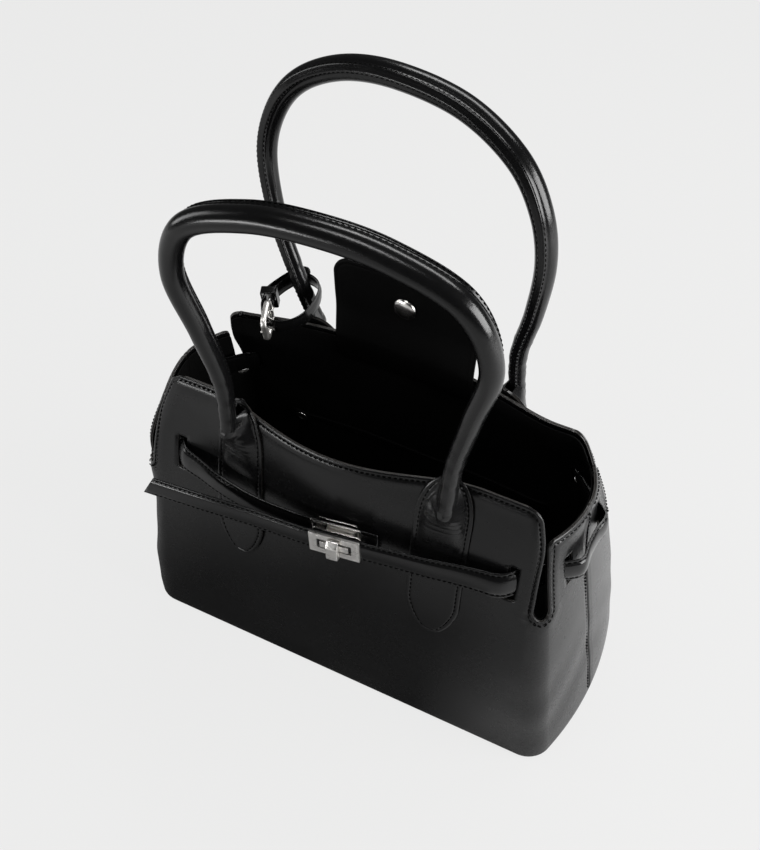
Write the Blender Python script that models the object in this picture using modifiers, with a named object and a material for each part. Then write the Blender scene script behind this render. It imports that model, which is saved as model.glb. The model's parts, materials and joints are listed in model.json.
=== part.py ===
# Soft leather tote bag with a woven belt, a turn lock, two arched handles,
# a closing flap and a small buckled strap round one handle leg.
# Metres, +Z up, the front of the bag faces -Y, origin under the middle of the base.
import math

import bmesh
import bpy
import numpy as np
from mathutils import Matrix, Vector

# Body
BASE_LENGTH = 0.3145
BASE_DEPTH = 0.1400
RIM_LENGTH = 0.264
RIM_DEPTH = 0.069
RIM_HEIGHT = 0.216
RIM_DIP = 0.003
GUSSET_DROP = 0.023
GUSSET_HEIGHT = RIM_HEIGHT - GUSSET_DROP
GUSSET_RISE = 0.003
GUSSET_POWER = 1.3
# How far each gusset's centre seam bulges out at these shares of the rim's height
BULGE_SHARES = (0, 0.28, 0.56, 0.76, 0.90)
BULGE = {-1: (0.0070, 0.0045, 0.0060, 0.0100, 0.0100), 1: (0.0070, 0.0050, 0.0052, 0.0070, 0.0120)}
BULGE_BLEND = 0.05
# How far a corner of the bag flares out above its middle
FLARE = {("front", -1): 0.0102, ("front", 1): 0.0020, ("back", -1): 0, ("back", 1): 0.0025}
FLARE_DROP = 0.062
FLARE_SPREAD = 0.038
BASE_CORNER = 0.018
RIM_CORNER = 0.012
CORNER_BLEND_HEIGHT = 0.14
LEATHER = 0.0020
LINING = 0.0010
LINING_GAP = 0.0014
GAP = 0.0003
LIP_RADIUS = 0.0045
LIP_INSET = 0.0072
LIP_CLEARANCE = 0.0004
PANEL_STEPS = 8
CORNER_STEPS = 5
GUSSET_STEPS = 3
WALL_ROWS = 9
LINING_FOOT = ((0.0068, 0.0052), (0.0040, 0.0062))
LINING_FOOT_TOP = 0.0105
FLOOR_BOARD_INSET = 0.0062
BOARD_THICK = 0.0020
# How far the mouth bows out: depth, centre in x, half width and sharpness
BOW = {
    "front": (0.0170, -0.006, 0.095, 2),
    "back": (0.0165, -0.010, 0.120, 3),
}

# Keyhole notches at the four upper corners
NOTCH_BASE_Z = RIM_HEIGHT - 0.0725
NOTCH_BASE_RADIUS = 0.0060
NOTCH_BASE_SHIFT = -0.0013
NOTCH_WAIST_Z = RIM_HEIGHT - 0.0510
NOTCH_WAIST_SHIFT = 0.0022
NOTCH_NECK_Z = RIM_HEIGHT - 0.026
NOTCH_NECK_SHIFT = 0.0053
NOTCH_NECK_HALF = 0.0010
NOTCH_LINE_Z = RIM_HEIGHT - 0.066
NOTCH_OVERSHOOT = 0.024
NOTCH_REACH = 0.017
PANEL_CORNER_ROUND = 0.0095
GUSSET_CORNER_ROUND = 0.0042

# Belt and its slots
BELT_WIDTH = 0.0180
BELT_THICK = 0.0030
BELT_STEP = 0.0091
GUSSET_STAND = 0.0013
BELT_Z = RIM_HEIGHT - 0.0555
SLOT_X = 0.1195
SLOT_Y = 0.026
SLOT_WIDTH = 0.0106
GUSSET_SLOT_WIDTH = 0.0130
SLOT_HEIGHT = BELT_WIDTH + 0.0074
BACK_SLOT_HEIGHT = BELT_WIDTH + 0.0030
TAIL_SLANT = 0.56
# Where the belt hangs between the lock and the slots: sideways place and distance off the panel
BELT_LEFT = ((-0.035, 0.0091), (-0.056, 0.0115), (-0.080, 0.0114), (-0.100, 0.0074))
BELT_LEFT_LEANS = (0.02, 0.06, 0.12, 0.20)
BELT_BACK = (-0.100, -0.075, -0.045, -0.012, 0.025, 0.060, 0.085, 0.102)
BELT_BACK_STAND = 0.0020
BELT_RIGHT = ((0.100, 0.0062), (0.080, 0.0082), (0.056, 0.0102))
BELT_RIGHT_LEANS = (0.20, 0.12, 0.04)
BELT_TAIL = ((-0.048, 0.0203), (-0.083, 0.0293), (-0.122, 0.0336))
# Belt path through a slot: steps sideways and outwards from the middle of the wall
PANEL_WEAVE = ((-0.0105, 0.0074), (-0.0043, 0.0046), (0.0035, -0.0036), (0.0085, -0.0080))
GUSSET_WEAVE = ((-0.0042, 0.0044), (0.0036, -0.0034), (0.0069, -0.0096))
GUSSET_RUN = 0.006

# Turn lock
LOCK_X = 0.0085
LOCK_STAND = 0.00135
LOCK_Z = BELT_Z + 0.0015
LOCK_YAW = math.radians(8)
PLATE_LENGTH = 0.0332
PLATE_HEIGHT = 0.0176
PLATE_THICK = 0.0012
BACK_PLATE_SHIFT = (-0.0022, 0.0012)
FRAME_THICK = 0.0018
LOCK_SLOT_LENGTH = 0.0228
LOCK_SLOT_HEIGHT = 0.0084
BOSS_LENGTH = 0.0186
BOSS_HEIGHT = 0.0052
SHAFT_RADIUS = 0.0019
SHAFT_CLEARANCE = 0.0001
TOGGLE_WIDTH = 0.0076
TOGGLE_LENGTH = 0.0156
TOGGLE_DEPTH = 0.0042
LOCK_ALONG = (math.cos(LOCK_YAW), math.sin(LOCK_YAW), 0)
LOCK_OUT = (math.sin(LOCK_YAW), -math.cos(LOCK_YAW), 0)
REAR_PLATE_DEPTH = 0.0010
SHORT_BELT_DEPTH = REAR_PLATE_DEPTH + GAP + BELT_THICK / 2
BASE_PLATE_DEPTH = SHORT_BELT_DEPTH + BELT_THICK / 2 + GAP
WASHER_DEPTH = BASE_PLATE_DEPTH + PLATE_THICK + 0.0024
LONG_BELT_DEPTH = WASHER_DEPTH + REAR_PLATE_DEPTH + GAP + BELT_THICK / 2
FRAME_DEPTH = LONG_BELT_DEPTH + BELT_THICK / 2 + GAP
BOSS_DEPTH = FRAME_DEPTH + FRAME_THICK + 0.0005
TOGGLE_START = BOSS_DEPTH + 0.0004

# Handle tabs
TAB_X = 0.0705
TAB_HALF = 0.0173
TAB_TOP_Z = RIM_HEIGHT + 0.0035
TAB_ARCH_Z = TAB_TOP_Z - 0.0335
TAB_SIDE_Z = TAB_TOP_Z - 0.0955
TAB_POINT_Z = TAB_TOP_Z - 0.1210
TAB_THICK = 0.0018
TAB_GAP = 0.0006
TAB_ROWS = (0.0465, 0.0265, 0.0205, 0.0155, 0.0110, 0.0067, 0.0050, -0.0055, -0.0145, -0.0220)
PLEAT_DEPTH = 0.0085
PLEAT_DROP = 0.0155

# Handles: outline of each leg as (sideways, height above the hinge), then how the arch stands:
# its lean, its twist seen from above, its sideways sway and how far it stands off the bag
HANDLE_BASE_Z = RIM_HEIGHT - 0.0225
HANDLE_FOOT_RADIUS = 0.0052
HANDLE_RADIUS = 0.0076
SEAM_WIDTH = 0.0052
SEAM_RISE = 0.0024
HANDLES = {
    "front": {
        "side": -1,
        "left": ((-0.0735, 0), (-0.0742, 0.012), (-0.0752, 0.052), (-0.0838, 0.095), (-0.0935, 0.138),
                 (-0.0790, 0.1760), (-0.0400, 0.1935), (0, 0.1975)),
        "right": ((0.0735, 0), (0.0745, 0.012), (0.0766, 0.052), (0.0855, 0.095), (0.0940, 0.138),
                  (0.0790, 0.1755), (0.0400, 0.1930), (0, 0.1975)),
        "lean": math.radians(2.8), "twist": math.radians(3.0), "sway": 0.004, "stand": 0.0066,
    },
    "back": {
        "side": 1,
        "left": ((-0.0725, 0), (-0.0755, 0.012), (-0.0850, 0.048), (-0.0958, 0.085), (-0.0990, 0.125),
                 (-0.0890, 0.158), (-0.0690, 0.184), (-0.0370, 0.2020), (0, 0.2085)),
        "right": ((0.0725, 0), (0.0735, 0.012), (0.0775, 0.048), (0.0895, 0.085), (0.0985, 0.125),
                  (0.0940, 0.158), (0.0765, 0.185), (0.0430, 0.2040), (0, 0.2085)),
        "lean": math.radians(3.5), "twist": math.radians(-7.2), "sway": -0.015, "stand": 0.0134,
    },
}
SEAM_LIFT = 0.55

# Closing flap
FLAP_X = -0.0022
FLAP_SETBACK = 0.0023
FLAP_HALF = 0.0498
FLAP_TOP_Z = RIM_HEIGHT + 0.0640
FLAP_HINGE_Z = RIM_HEIGHT + 0.0010
FLAP_THICK = 0.0026
FLAP_ROUND = 0.0135
SNAP_RADIUS = 0.0077
SNAP_X = -0.002
SNAP_Z = FLAP_TOP_Z - 0.026
MAGNET_Z = RIM_HEIGHT - 0.030
MAGNET_RADIUS = 0.0095
MAGNET_THICK = 0.0022

# Small parts inside
POCKET_HALF = 0.100
POCKET_BASE_Z = 0.030
POCKET_TOP_Z = RIM_HEIGHT - 0.1035
POCKET_THICK = 0.0012
STUD_X = -0.0932
STUD_Z = POCKET_TOP_Z - 0.0045
STUD_RADIUS = 0.0043

# Buckled strap round the back left handle leg
CHARM_Z = RIM_HEIGHT + 0.0125
CHARM_TILT = math.radians(8)
CHARM_WIDTH = 0.0115
CHARM_THICK = 0.0020
CHARM_LEG_X = -0.0856
CHARM_LEG_STAND = 0.0182
BUCKLE_OFFSET = (-0.0079, -0.0322)
BUCKLE_ALONG = (-0.37, 0.93, 0)
# Strap path round the leg, as steps from the leg: the wide loop, then the end of the tail
CHARM_LOOP = ((-0.0116, 0.0014), (-0.0062, 0.0086), (0.0026, 0.0097), (0.0108, 0.0052), (0.0148, -0.0066),
              (0.0144, -0.0190), (0.0098, -0.0286), (0.0018, -0.0340))
CHARM_TAIL = ((-0.0144, 0.0032), (-0.0090, 0.0116), (-0.0032, 0.0168))
BUCKLE_LENGTH = 0.0200
BUCKLE_HEIGHT = 0.0175
WIRE = 0.0012
PRONG = 0.0008
HEEL_CROSSING = 0.0047

SIDES = {"front": -1, "back": 1}
WELD = 0.00001
SHARP_ANGLE = math.radians(38)


def clear_scene():
    for item in list(bpy.data.objects):
        bpy.data.objects.remove(item, do_unlink=True)


def new_collection(name):
    group = bpy.data.collections.new(name)
    bpy.context.scene.collection.children.link(group)
    return group


def material(name, colour, metallic, roughness):
    made = bpy.data.materials.new(name)
    made.use_nodes = True
    shader = made.node_tree.nodes["Principled BSDF"]
    shader.inputs["Base Color"].default_value = (*colour, 1)
    shader.inputs["Metallic"].default_value = metallic
    shader.inputs["Roughness"].default_value = roughness
    return made


def leather(name):
    return material(name + "_leather", (0.012, 0.012, 0.013), 0, 0.38)


def metal(name):
    return material(name + "_metal", (0.62, 0.61, 0.59), 1, 0.28)


def add_mesh(name, points, faces, group, finish=None):
    data = bpy.data.meshes.new(name)
    data.from_pydata([tuple(float(v) for v in p) for p in points], [], faces)
    face_outwards(data)
    return place_mesh(name, data, group, finish)


def face_outwards(data):
    shape = bmesh.new()
    shape.from_mesh(data)
    bmesh.ops.remove_doubles(shape, verts=shape.verts, dist=WELD)
    bmesh.ops.recalc_face_normals(shape, faces=shape.faces)
    shape.to_mesh(data)
    shape.free()
    data.update()


def place_mesh(name, data, group, finish=None):
    data.name = name
    data.materials.clear()
    if finish:
        data.materials.append(finish)
    data.shade_smooth()
    data.set_sharp_from_angle(angle=SHARP_ANGLE)
    made = bpy.data.objects.new(name, data)
    group.objects.link(made)
    return made


def settle(helper, name, group, finish=None):
    """Turn a curve, or a mesh with its modifiers, into a plain mesh at its place in the scene."""
    bpy.context.view_layer.update()
    ready = helper.evaluated_get(bpy.context.evaluated_depsgraph_get())
    data = bpy.data.meshes.new_from_object(ready)
    data.transform(helper.matrix_world)
    source = helper.data
    bpy.data.objects.remove(helper, do_unlink=True)
    if isinstance(source, bpy.types.Curve):
        bpy.data.curves.remove(source)
    else:
        bpy.data.meshes.remove(source)
    face_outwards(data)
    return place_mesh(name, data, group, finish)


def add_curve(name, points, group, closed, flat):
    """Straight-sided curve through the points, flat and filled or free in space."""
    data = bpy.data.curves.new(name, "CURVE")
    data.dimensions = "2D" if flat else "3D"
    spline = data.splines.new("POLY")
    spline.points.add(len(points) - 1)
    for spot, point in zip(spline.points, points):
        spot.co = (*point, *(0,) * (3 - len(point)), 1)
    spline.use_cyclic_u = closed
    made = bpy.data.objects.new(name, data)
    group.objects.link(made)
    return made


def frame_matrix(origin, across, upward, outward):
    turn = Matrix((Vector(across), Vector(upward), Vector(outward))).transposed()
    return Matrix.Translation(Vector(origin)) @ turn.to_4x4()


def cut(target, cutter, operation="DIFFERENCE"):
    step = target.modifiers.new("cut_" + cutter.name, "BOOLEAN")
    step.operation = operation
    step.solver = "EXACT"
    step.object = cutter
    return step


def soften(target, width, segments=2):
    step = target.modifiers.new("soften", "BEVEL")
    step.width = width
    step.segments = segments
    step.limit_method = "ANGLE"
    step.angle_limit = math.radians(40)
    step.harden_normals = False
    return step


def loft(name, rings, group, finish=None):
    """Closed rings of equal length joined in order, with a cap on both ends."""
    count = len(rings[0])
    points = [p for ring in rings for p in ring]
    faces = []
    for row in range(len(rings) - 1):
        for i in range(count):
            j = (i + 1) % count
            a, b = row * count, (row + 1) * count
            faces.append((a + i, a + j, b + j, b + i))
    faces.append(tuple(range(count)))
    faces.append(tuple(range((len(rings) - 1) * count, len(rings) * count)))
    return add_mesh(name, points, faces, group, finish)


def prism(name, outline, origin, across, upward, outward, start, end, group, finish=None):
    """A flat filled outline, extruded from start to end along its outward direction."""
    helper = add_curve(name, outline, group, True, True)
    helper.data.fill_mode = "BOTH"
    helper.data.extrude = (end - start) / 2
    middle = Vector(origin) + Vector(outward) * (start + end) / 2
    helper.matrix_world = frame_matrix(middle, across, upward, outward)
    return settle(helper, name, group, finish)


def wire(name, points, radius, closed, group, finish=None):
    """Round wire along straight steps, with flat ends where it is open."""
    helper = add_curve(name, points, group, closed, False)
    helper.data.bevel_depth = radius
    helper.data.bevel_resolution = 2
    helper.data.use_fill_caps = not closed
    return settle(helper, name, group, finish)


def arc(centre, radius, first, last, steps):
    """Points on a circle between two angles in degrees, both ends included."""
    out = []
    for i in range(steps + 1):
        turn = math.radians(first + (last - first) * i / steps)
        out.append((centre[0] + radius * math.cos(turn), centre[1] + radius * math.sin(turn)))
    return out


def rounded_box(half_width, half_height, radius, steps=3):
    out = []
    corners = ((1, 1, 0), (-1, 1, 90), (-1, -1, 180), (1, -1, 270))
    for right, top, turn in corners:
        centre = (right * (half_width - radius), top * (half_height - radius))
        out.extend(arc(centre, radius, turn, turn + 90, steps))
    return out


def smooth_path(knots, step, dims=3):
    """Catmull-Rom curve through the knots, resampled at even distances in its first dims columns."""
    pts = np.array(knots, dtype=float)
    pts = np.vstack([2 * pts[0] - pts[1], pts, 2 * pts[-1] - pts[-2]])
    out = []
    for i in range(1, len(pts) - 2):
        p0, p1, p2, p3 = pts[i - 1:i + 3]
        for t in np.linspace(0, 1, 24, endpoint=False):
            out.append(0.5 * (2 * p1 + (p2 - p0) * t + (2 * p0 - 5 * p1 + 4 * p2 - p3) * t ** 2
                              + (3 * p1 - p0 - 3 * p2 + p3) * t ** 3))
    out.append(pts[-2])
    out = np.array(out)
    run = np.r_[0, np.cumsum(np.linalg.norm(np.diff(out[:, :dims], axis=0), axis=1))]
    marks = np.linspace(0, run[-1], max(2, round(run[-1] / step)) + 1)
    return np.stack([np.interp(marks, run, out[:, k]) for k in range(out.shape[1])], 1)


# Shape of the outer skin

def plain_length(z):
    return BASE_LENGTH / 2 - (BASE_LENGTH - RIM_LENGTH) / 2 * (z / RIM_HEIGHT) ** GUSSET_POWER


def flare(z, right, side):
    return FLARE[side, right] * math.exp(-((z - RIM_HEIGHT + FLARE_DROP) / FLARE_SPREAD) ** 2)


def half_length(z, right, side):
    """Distance from the middle of the bag to one corner's outermost line."""
    return plain_length(z) + flare(z, right, side)


def half_depth(z):
    return BASE_DEPTH / 2 - (BASE_DEPTH - RIM_DEPTH) / 2 * (z / RIM_HEIGHT) ** 2


def corner_radius(z):
    share = min(1, z / CORNER_BLEND_HEIGHT)
    return BASE_CORNER + (RIM_CORNER - BASE_CORNER) * share


def bow(x, z, side):
    depth, centre, half, power = BOW[side]
    share = min(1, abs((x - centre) / half))
    return depth * (z / RIM_HEIGHT) ** 2 * (1 - share ** power) ** 2


def panel_y(x, z, side):
    return half_depth(z) + bow(x, z, side)


def wall_lean(x, side):
    """How far the panel falls inwards per unit of height at the belt."""
    step = 0.004
    return (panel_y(x, BELT_Z - step, side) - panel_y(x, BELT_Z + step, side)) / (2 * step)


def quadrant():
    """Column marks from the middle of a panel round to the middle of a gusset."""
    marks = [("panel", i / PANEL_STEPS) for i in range(PANEL_STEPS)]
    marks += [("corner", i / CORNER_STEPS) for i in range(CORNER_STEPS + 1)]
    marks += [("gusset", i / GUSSET_STEPS) for i in range(1, GUSSET_STEPS + 1)]
    return marks


def seam_x(z, right):
    """Distance from the middle of the bag to the centre seam of a gusset."""
    near = [z / RIM_HEIGHT + step for step in (-BULGE_BLEND, 0, BULGE_BLEND)]
    return plain_length(z) + float(np.mean(np.interp(near, BULGE_SHARES, BULGE[right])))


def corner_end(z, right, side):
    """Angle where the corner round runs smoothly into the gusset."""
    out = seam_x(z, right) - half_length(z, right, side)
    return math.atan2(half_depth(z) - corner_radius(z), 2 * out)


def gusset_curve(z, right, side):
    """Where the gusset starts at the corner round, how far it bulges from there, and its half width."""
    turn = corner_end(z, right, side)
    start = half_length(z, right, side) - corner_radius(z) * (1 - math.sin(turn))
    width = half_depth(z) - corner_radius(z) * (1 - math.cos(turn))
    return start, seam_x(z, right) - start, width


def gusset_x(y, z, right, side):
    start, out, width = gusset_curve(z, right, side)
    return start + out * (1 - (y / width) ** 2)


def seam_lean(right):
    """How far the gusset falls inwards per unit of height at the belt."""
    step = 0.004
    return (seam_x(BELT_Z - step, right) - seam_x(BELT_Z + step, right)) / (2 * step)


def skin_point(mark, z, right, side, inset, seam):
    """Point of the outer skin, moved inwards by the inset and kept off the centre seam."""
    kind, share = mark
    round_off = corner_radius(z)
    length, depth = half_length(z, right, side), half_depth(z)
    if kind == "panel":
        x = share * (length - round_off)
        y = depth + bow(right * x, z, side)
        nx, ny = 0, 1
    elif kind == "corner":
        turn = share * corner_end(z, right, side)
        nx, ny = math.sin(turn), math.cos(turn)
        x = length - round_off + round_off * nx
        y = depth - round_off + round_off * ny
    else:
        start, out, width = gusset_curve(z, right, side)
        y = width * (1 - share)
        x = start + out * (1 - (y / width) ** 2)
        tilt = 2 * out * y / width ** 2
        nx, ny = 1 / math.hypot(1, tilt), tilt / math.hypot(1, tilt)
    x, y = x - inset * nx, max(y - inset * ny, seam)
    return (right * x, SIDES[side] * y, z)


def rim_z(mark, right, side):
    kind, share = mark
    if kind == "panel":
        x = right * share * (RIM_LENGTH / 2 - RIM_CORNER)
        centre = BOW[side][1]
        near = min(1, abs((x - centre) / 0.1))
        return RIM_HEIGHT - RIM_DIP * (1 - near ** 2) ** 2
    if kind == "corner" and share < 0.55:
        return RIM_HEIGHT
    if kind == "corner":
        return GUSSET_HEIGHT
    return GUSSET_HEIGHT + GUSSET_RISE * math.sin(math.pi / 2 * share) ** 2


def half_columns(side):
    """Columns from the left gusset seam past the panel to the right gusset seam."""
    marks = quadrant()
    left = [(mark, -1, side) for mark in reversed(marks)]
    right = [(mark, 1, side) for mark in marks[1:]]
    return left + right


def skin_grid(columns, foot, seam):
    """Rows of skin points: the turned foot first, then the wall up to the rim."""
    rows = []
    for inset, z in foot:
        rows.append([(*skin_point(m, z, r, s, inset, seam)[:2], z) for m, r, s in columns])
    low = foot[-1][1]
    for i in range(1, WALL_ROWS + 1):
        row = []
        for mark, right, side in columns:
            z = low + (rim_z(mark, right, side) - low) * i / WALL_ROWS
            row.append(skin_point(mark, z, right, side, 0, seam))
        rows.append(row)
    return np.array(rows)


def outward_normals(grid, closed):
    """Unit normals of a point grid; the columns run anticlockwise seen from above."""
    if closed:
        around = np.roll(grid, -1, 1) - np.roll(grid, 1, 1)
    else:
        around = np.gradient(grid, axis=1)
    normals = np.cross(around, np.gradient(grid, axis=0))
    return normals / np.linalg.norm(normals, axis=2, keepdims=True)


def skin_mesh(name, grid, closed, floor, group, finish):
    """Open sheet through a point grid; a closed sheet can have a floor over its first row."""
    rows, cols = grid.shape[:2]
    spans = cols if closed else cols - 1
    faces = []
    for r in range(rows - 1):
        for c in range(spans):
            a, b = r * cols + c, r * cols + (c + 1) % cols
            faces.append((a, b, b + cols, a + cols))
    if floor:
        faces.append(tuple(range(cols))[::-1])
    data = bpy.data.meshes.new(name)
    data.from_pydata([tuple(float(v) for v in p) for p in grid.reshape(-1, 3)], [], faces)
    data.update()
    return place_mesh(name, data, group, finish)


def thicken(target, thickness):
    """Give a sheet its thickness, away from the side that its faces look to."""
    step = target.modifiers.new("thickness", "SOLIDIFY")
    step.thickness = thickness
    step.offset = -1
    step.use_rim = True
    return step


def wall_solid(name, outer, inner, closed, floor, group, finish):
    """Closed body between two point grids, with faces on every free edge."""
    rows, cols = outer.shape[:2]
    points = list(outer.reshape(-1, 3)) + list(inner.reshape(-1, 3))
    base = rows * cols

    def at(layer, r, c):
        return layer * base + r * cols + c % cols

    faces = []
    spans = cols if closed else cols - 1
    for r in range(rows - 1):
        for c in range(spans):
            faces.append((at(0, r, c), at(0, r, c + 1), at(0, r + 1, c + 1), at(0, r + 1, c)))
            faces.append((at(1, r, c), at(1, r + 1, c), at(1, r + 1, c + 1), at(1, r, c + 1)))
    for c in range(spans):
        faces.append((at(0, rows - 1, c), at(0, rows - 1, c + 1), at(1, rows - 1, c + 1),
                      at(1, rows - 1, c)))
        if not floor:
            faces.append((at(0, 0, c), at(1, 0, c), at(1, 0, c + 1), at(0, 0, c + 1)))
    if floor:
        faces.append(tuple(at(0, 0, c) for c in range(cols)))
        faces.append(tuple(at(1, 0, c) for c in range(cols)))
    if not closed:
        for c in (0, cols - 1):
            for r in range(rows - 1):
                faces.append((at(0, r, c), at(0, r + 1, c), at(1, r + 1, c), at(1, r, c)))
    return add_mesh(name, points, faces, group, finish)


# Body pieces

def lip_rows():
    """Foot of the shell: a flat turned-in lip, a quarter round, then the wall where the lining starts."""
    rows = [(LIP_INSET, LIP_CLEARANCE)]
    for turn in (90, 60, 30, 0):
        angle = math.radians(turn)
        inset = LIP_RADIUS * (1 - math.cos(angle))
        rows.append((inset, LIP_CLEARANCE + LIP_RADIUS * (1 - math.sin(angle))))
    return [*rows, (0, LINING_FOOT_TOP)]


def build_seam(side, group):
    """Block over the other half of the bag; it trims this side's shell at the gusset seams."""
    half, far = BASE_LENGTH * 0.7, -SIDES[side] * BASE_DEPTH
    near = SIDES[side] * GAP / 2
    strip = [(-half, near), (half, near), (half, far), (-half, far)]
    return prism(side + "_seam_cut", strip, (0, 0, 0), (1, 0, 0), (0, 1, 0), (0, 0, 1), -GAP, RIM_HEIGHT * 1.1,
                 group)


def build_shell(side, group, cutter, seam):
    columns = half_columns(side)
    if side == "back":
        columns = columns[::-1]
    name = side + "_shell"
    shell = skin_mesh(name, skin_grid(columns, lip_rows(), 0), False, False, group, leather(name))
    thicken(shell, LEATHER)
    cut(shell, seam)
    cut(shell, cutter)
    return shell


def build_lining(group, cutters):
    front = half_columns("front")
    back = half_columns("back")[::-1]
    columns = front + back[1:-1]
    skin_to_lining = LEATHER + LINING_GAP
    foot = [*LINING_FOOT, (skin_to_lining + 0.0002, LINING_FOOT_TOP)]
    grid = skin_grid(columns, foot, 0)
    grid[len(foot):] -= outward_normals(grid, True)[len(foot):] * skin_to_lining
    made = skin_mesh("lining", grid, True, True, group,
                     material("lining_fabric", (0.006, 0.006, 0.006), 0, 0.85))
    thicken(made, LINING)
    for cutter in cutters:
        cut(made, cutter)
    return made


def floor_outline(inset):
    columns = half_columns("front") + half_columns("back")[::-1][1:-1]
    return [skin_point(m, 0, r, s, inset, 0)[:2] for m, r, s in columns]


def build_base(group):
    panel_inset = LIP_INSET + GAP
    prism("base_panel", floor_outline(panel_inset), (0, 0, 0), (1, 0, 0), (0, 1, 0), (0, 0, 1),
          0, LIP_CLEARANCE + LEATHER, group, leather("base_panel"))
    board_start = LIP_CLEARANCE + LEATHER + GAP
    prism("base_board", floor_outline(FLOOR_BOARD_INSET), (0, 0, 0), (1, 0, 0), (0, 1, 0), (0, 0, 1),
          board_start, board_start + BOARD_THICK, group,
          material("base_board_card", (0.05, 0.04, 0.03), 0, 0.9))


def notch_outline():
    """Keyhole seen square on: sideways along the corner, height in z."""
    low = arc((NOTCH_BASE_SHIFT, NOTCH_BASE_Z), NOTCH_BASE_RADIUS, 180, 360, 6)
    gusset_x = NOTCH_NECK_SHIFT + NOTCH_NECK_HALF
    panel_x = NOTCH_NECK_SHIFT - NOTCH_NECK_HALF
    bulb = NOTCH_BASE_RADIUS * 0.62
    waist = NOTCH_BASE_SHIFT + NOTCH_WAIST_SHIFT
    over = RIM_HEIGHT + NOTCH_OVERSHOOT
    right = [(waist + bulb, NOTCH_WAIST_Z), (gusset_x, GUSSET_HEIGHT - GUSSET_CORNER_ROUND * 1.93)]
    turn = (gusset_x + GUSSET_CORNER_ROUND, GUSSET_HEIGHT - GUSSET_CORNER_ROUND)
    right += arc(turn, GUSSET_CORNER_ROUND, 165, 90, 2)
    right += [(gusset_x + GUSSET_CORNER_ROUND + 0.0012, GUSSET_HEIGHT + GAP),
              (NOTCH_REACH, GUSSET_HEIGHT + GUSSET_RISE + 0.0002), (NOTCH_REACH, over)]
    top = PANEL_CORNER_ROUND
    shoulder = (panel_x - top, RIM_HEIGHT - top)
    left = [(panel_x - top - 0.004, over), (panel_x - top - 0.004, RIM_HEIGHT + 0.0004)]
    left += arc(shoulder, top, 90, 8, 4)
    left += [(panel_x, NOTCH_NECK_Z), (waist - bulb, NOTCH_WAIST_Z)]
    return low + right + left


def follow_flare(right, side):
    """Slant a notch by as much as its corner flares between the notch and the gusset's top."""
    rise = GUSSET_HEIGHT - NOTCH_LINE_Z
    slant = right * (flare(GUSSET_HEIGHT, right, side) - flare(NOTCH_LINE_Z, right, side)) / rise
    move = Matrix.Identity(4)
    move[0][2], move[0][3] = slant, -slant * NOTCH_LINE_Z
    return move


def build_cuts(side, group):
    """All openings of one side as one set of cutters: notches, panel slots and gusset slots."""
    turned = SIDES[side]
    slope = math.sqrt(0.5)
    high = SLOT_HEIGHT if side == "front" else BACK_SLOT_HEIGHT
    line_y = half_depth(NOTCH_LINE_Z) - RIM_CORNER
    pieces = []
    for right in (-1, 1):
        line_x = half_length(NOTCH_LINE_Z, right, side) - RIM_CORNER
        notch = prism("notch", notch_outline(), (right * line_x, turned * line_y, 0),
                      (right * slope, -turned * slope, 0), (0, 0, 1),
                      (right * slope, turned * slope, 0), -0.006, 0.030, group)
        notch.data.transform(follow_flare(right, side))
        pieces.append(notch)
        slot = rounded_box(SLOT_WIDTH / 2, high / 2, 0.0022, 2)
        gusset_slot = rounded_box(GUSSET_SLOT_WIDTH / 2, high / 2, 0.0022, 2)
        wall_y = panel_y(right * SLOT_X, BELT_Z, side)
        pieces.append(prism("panel_slot", slot, (right * SLOT_X, turned * wall_y, BELT_Z),
                            (1, 0, 0), (0, 0, 1), (0, 1, 0), -0.010, 0.010, group))
        wall_x = gusset_x(SLOT_Y, BELT_Z, right, side)
        pieces.append(prism("gusset_slot", gusset_slot, (right * wall_x, turned * SLOT_Y, BELT_Z),
                            (0, 1, 0), (0, 0, 1), (right, 0, 0), -0.016, 0.014, group))
    joined = bmesh.new()
    for piece in pieces:
        joined.from_mesh(piece.data)
        bpy.data.objects.remove(piece, do_unlink=True)
    data = bpy.data.meshes.new(side + "_cuts")
    joined.to_mesh(data)
    joined.free()
    made = bpy.data.objects.new(side + "_cuts", data)
    group.objects.link(made)
    return made


# Handle tabs

def tab_half_width(z):
    if z < TAB_SIDE_Z:
        share = (TAB_SIDE_Z - z) / (TAB_SIDE_Z - TAB_POINT_Z)
        return TAB_HALF * math.sqrt(max(0, 1 - share ** 1.3)) + 0.0004
    if z > TAB_ARCH_Z:
        share = (z - TAB_ARCH_Z) / (TAB_TOP_Z - TAB_ARCH_Z)
        return TAB_HALF * math.sqrt(max(0, 1 - share ** 2.4)) + 0.0004
    return TAB_HALF


def pleat_lift(across, z):
    """Raised fan of leather under the foot of the handle tube."""
    width = math.exp(-(across / 0.60) ** 2 * 1.6)
    rise = math.exp(-((z - HANDLE_BASE_Z + PLEAT_DROP - 0.007) / 0.0115) ** 2)
    fade = min(1, max(0, (HANDLE_BASE_Z - 0.0060 - z) / 0.0050))
    return PLEAT_DEPTH * width * rise * fade * (1 - abs(across) ** 4)


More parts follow.
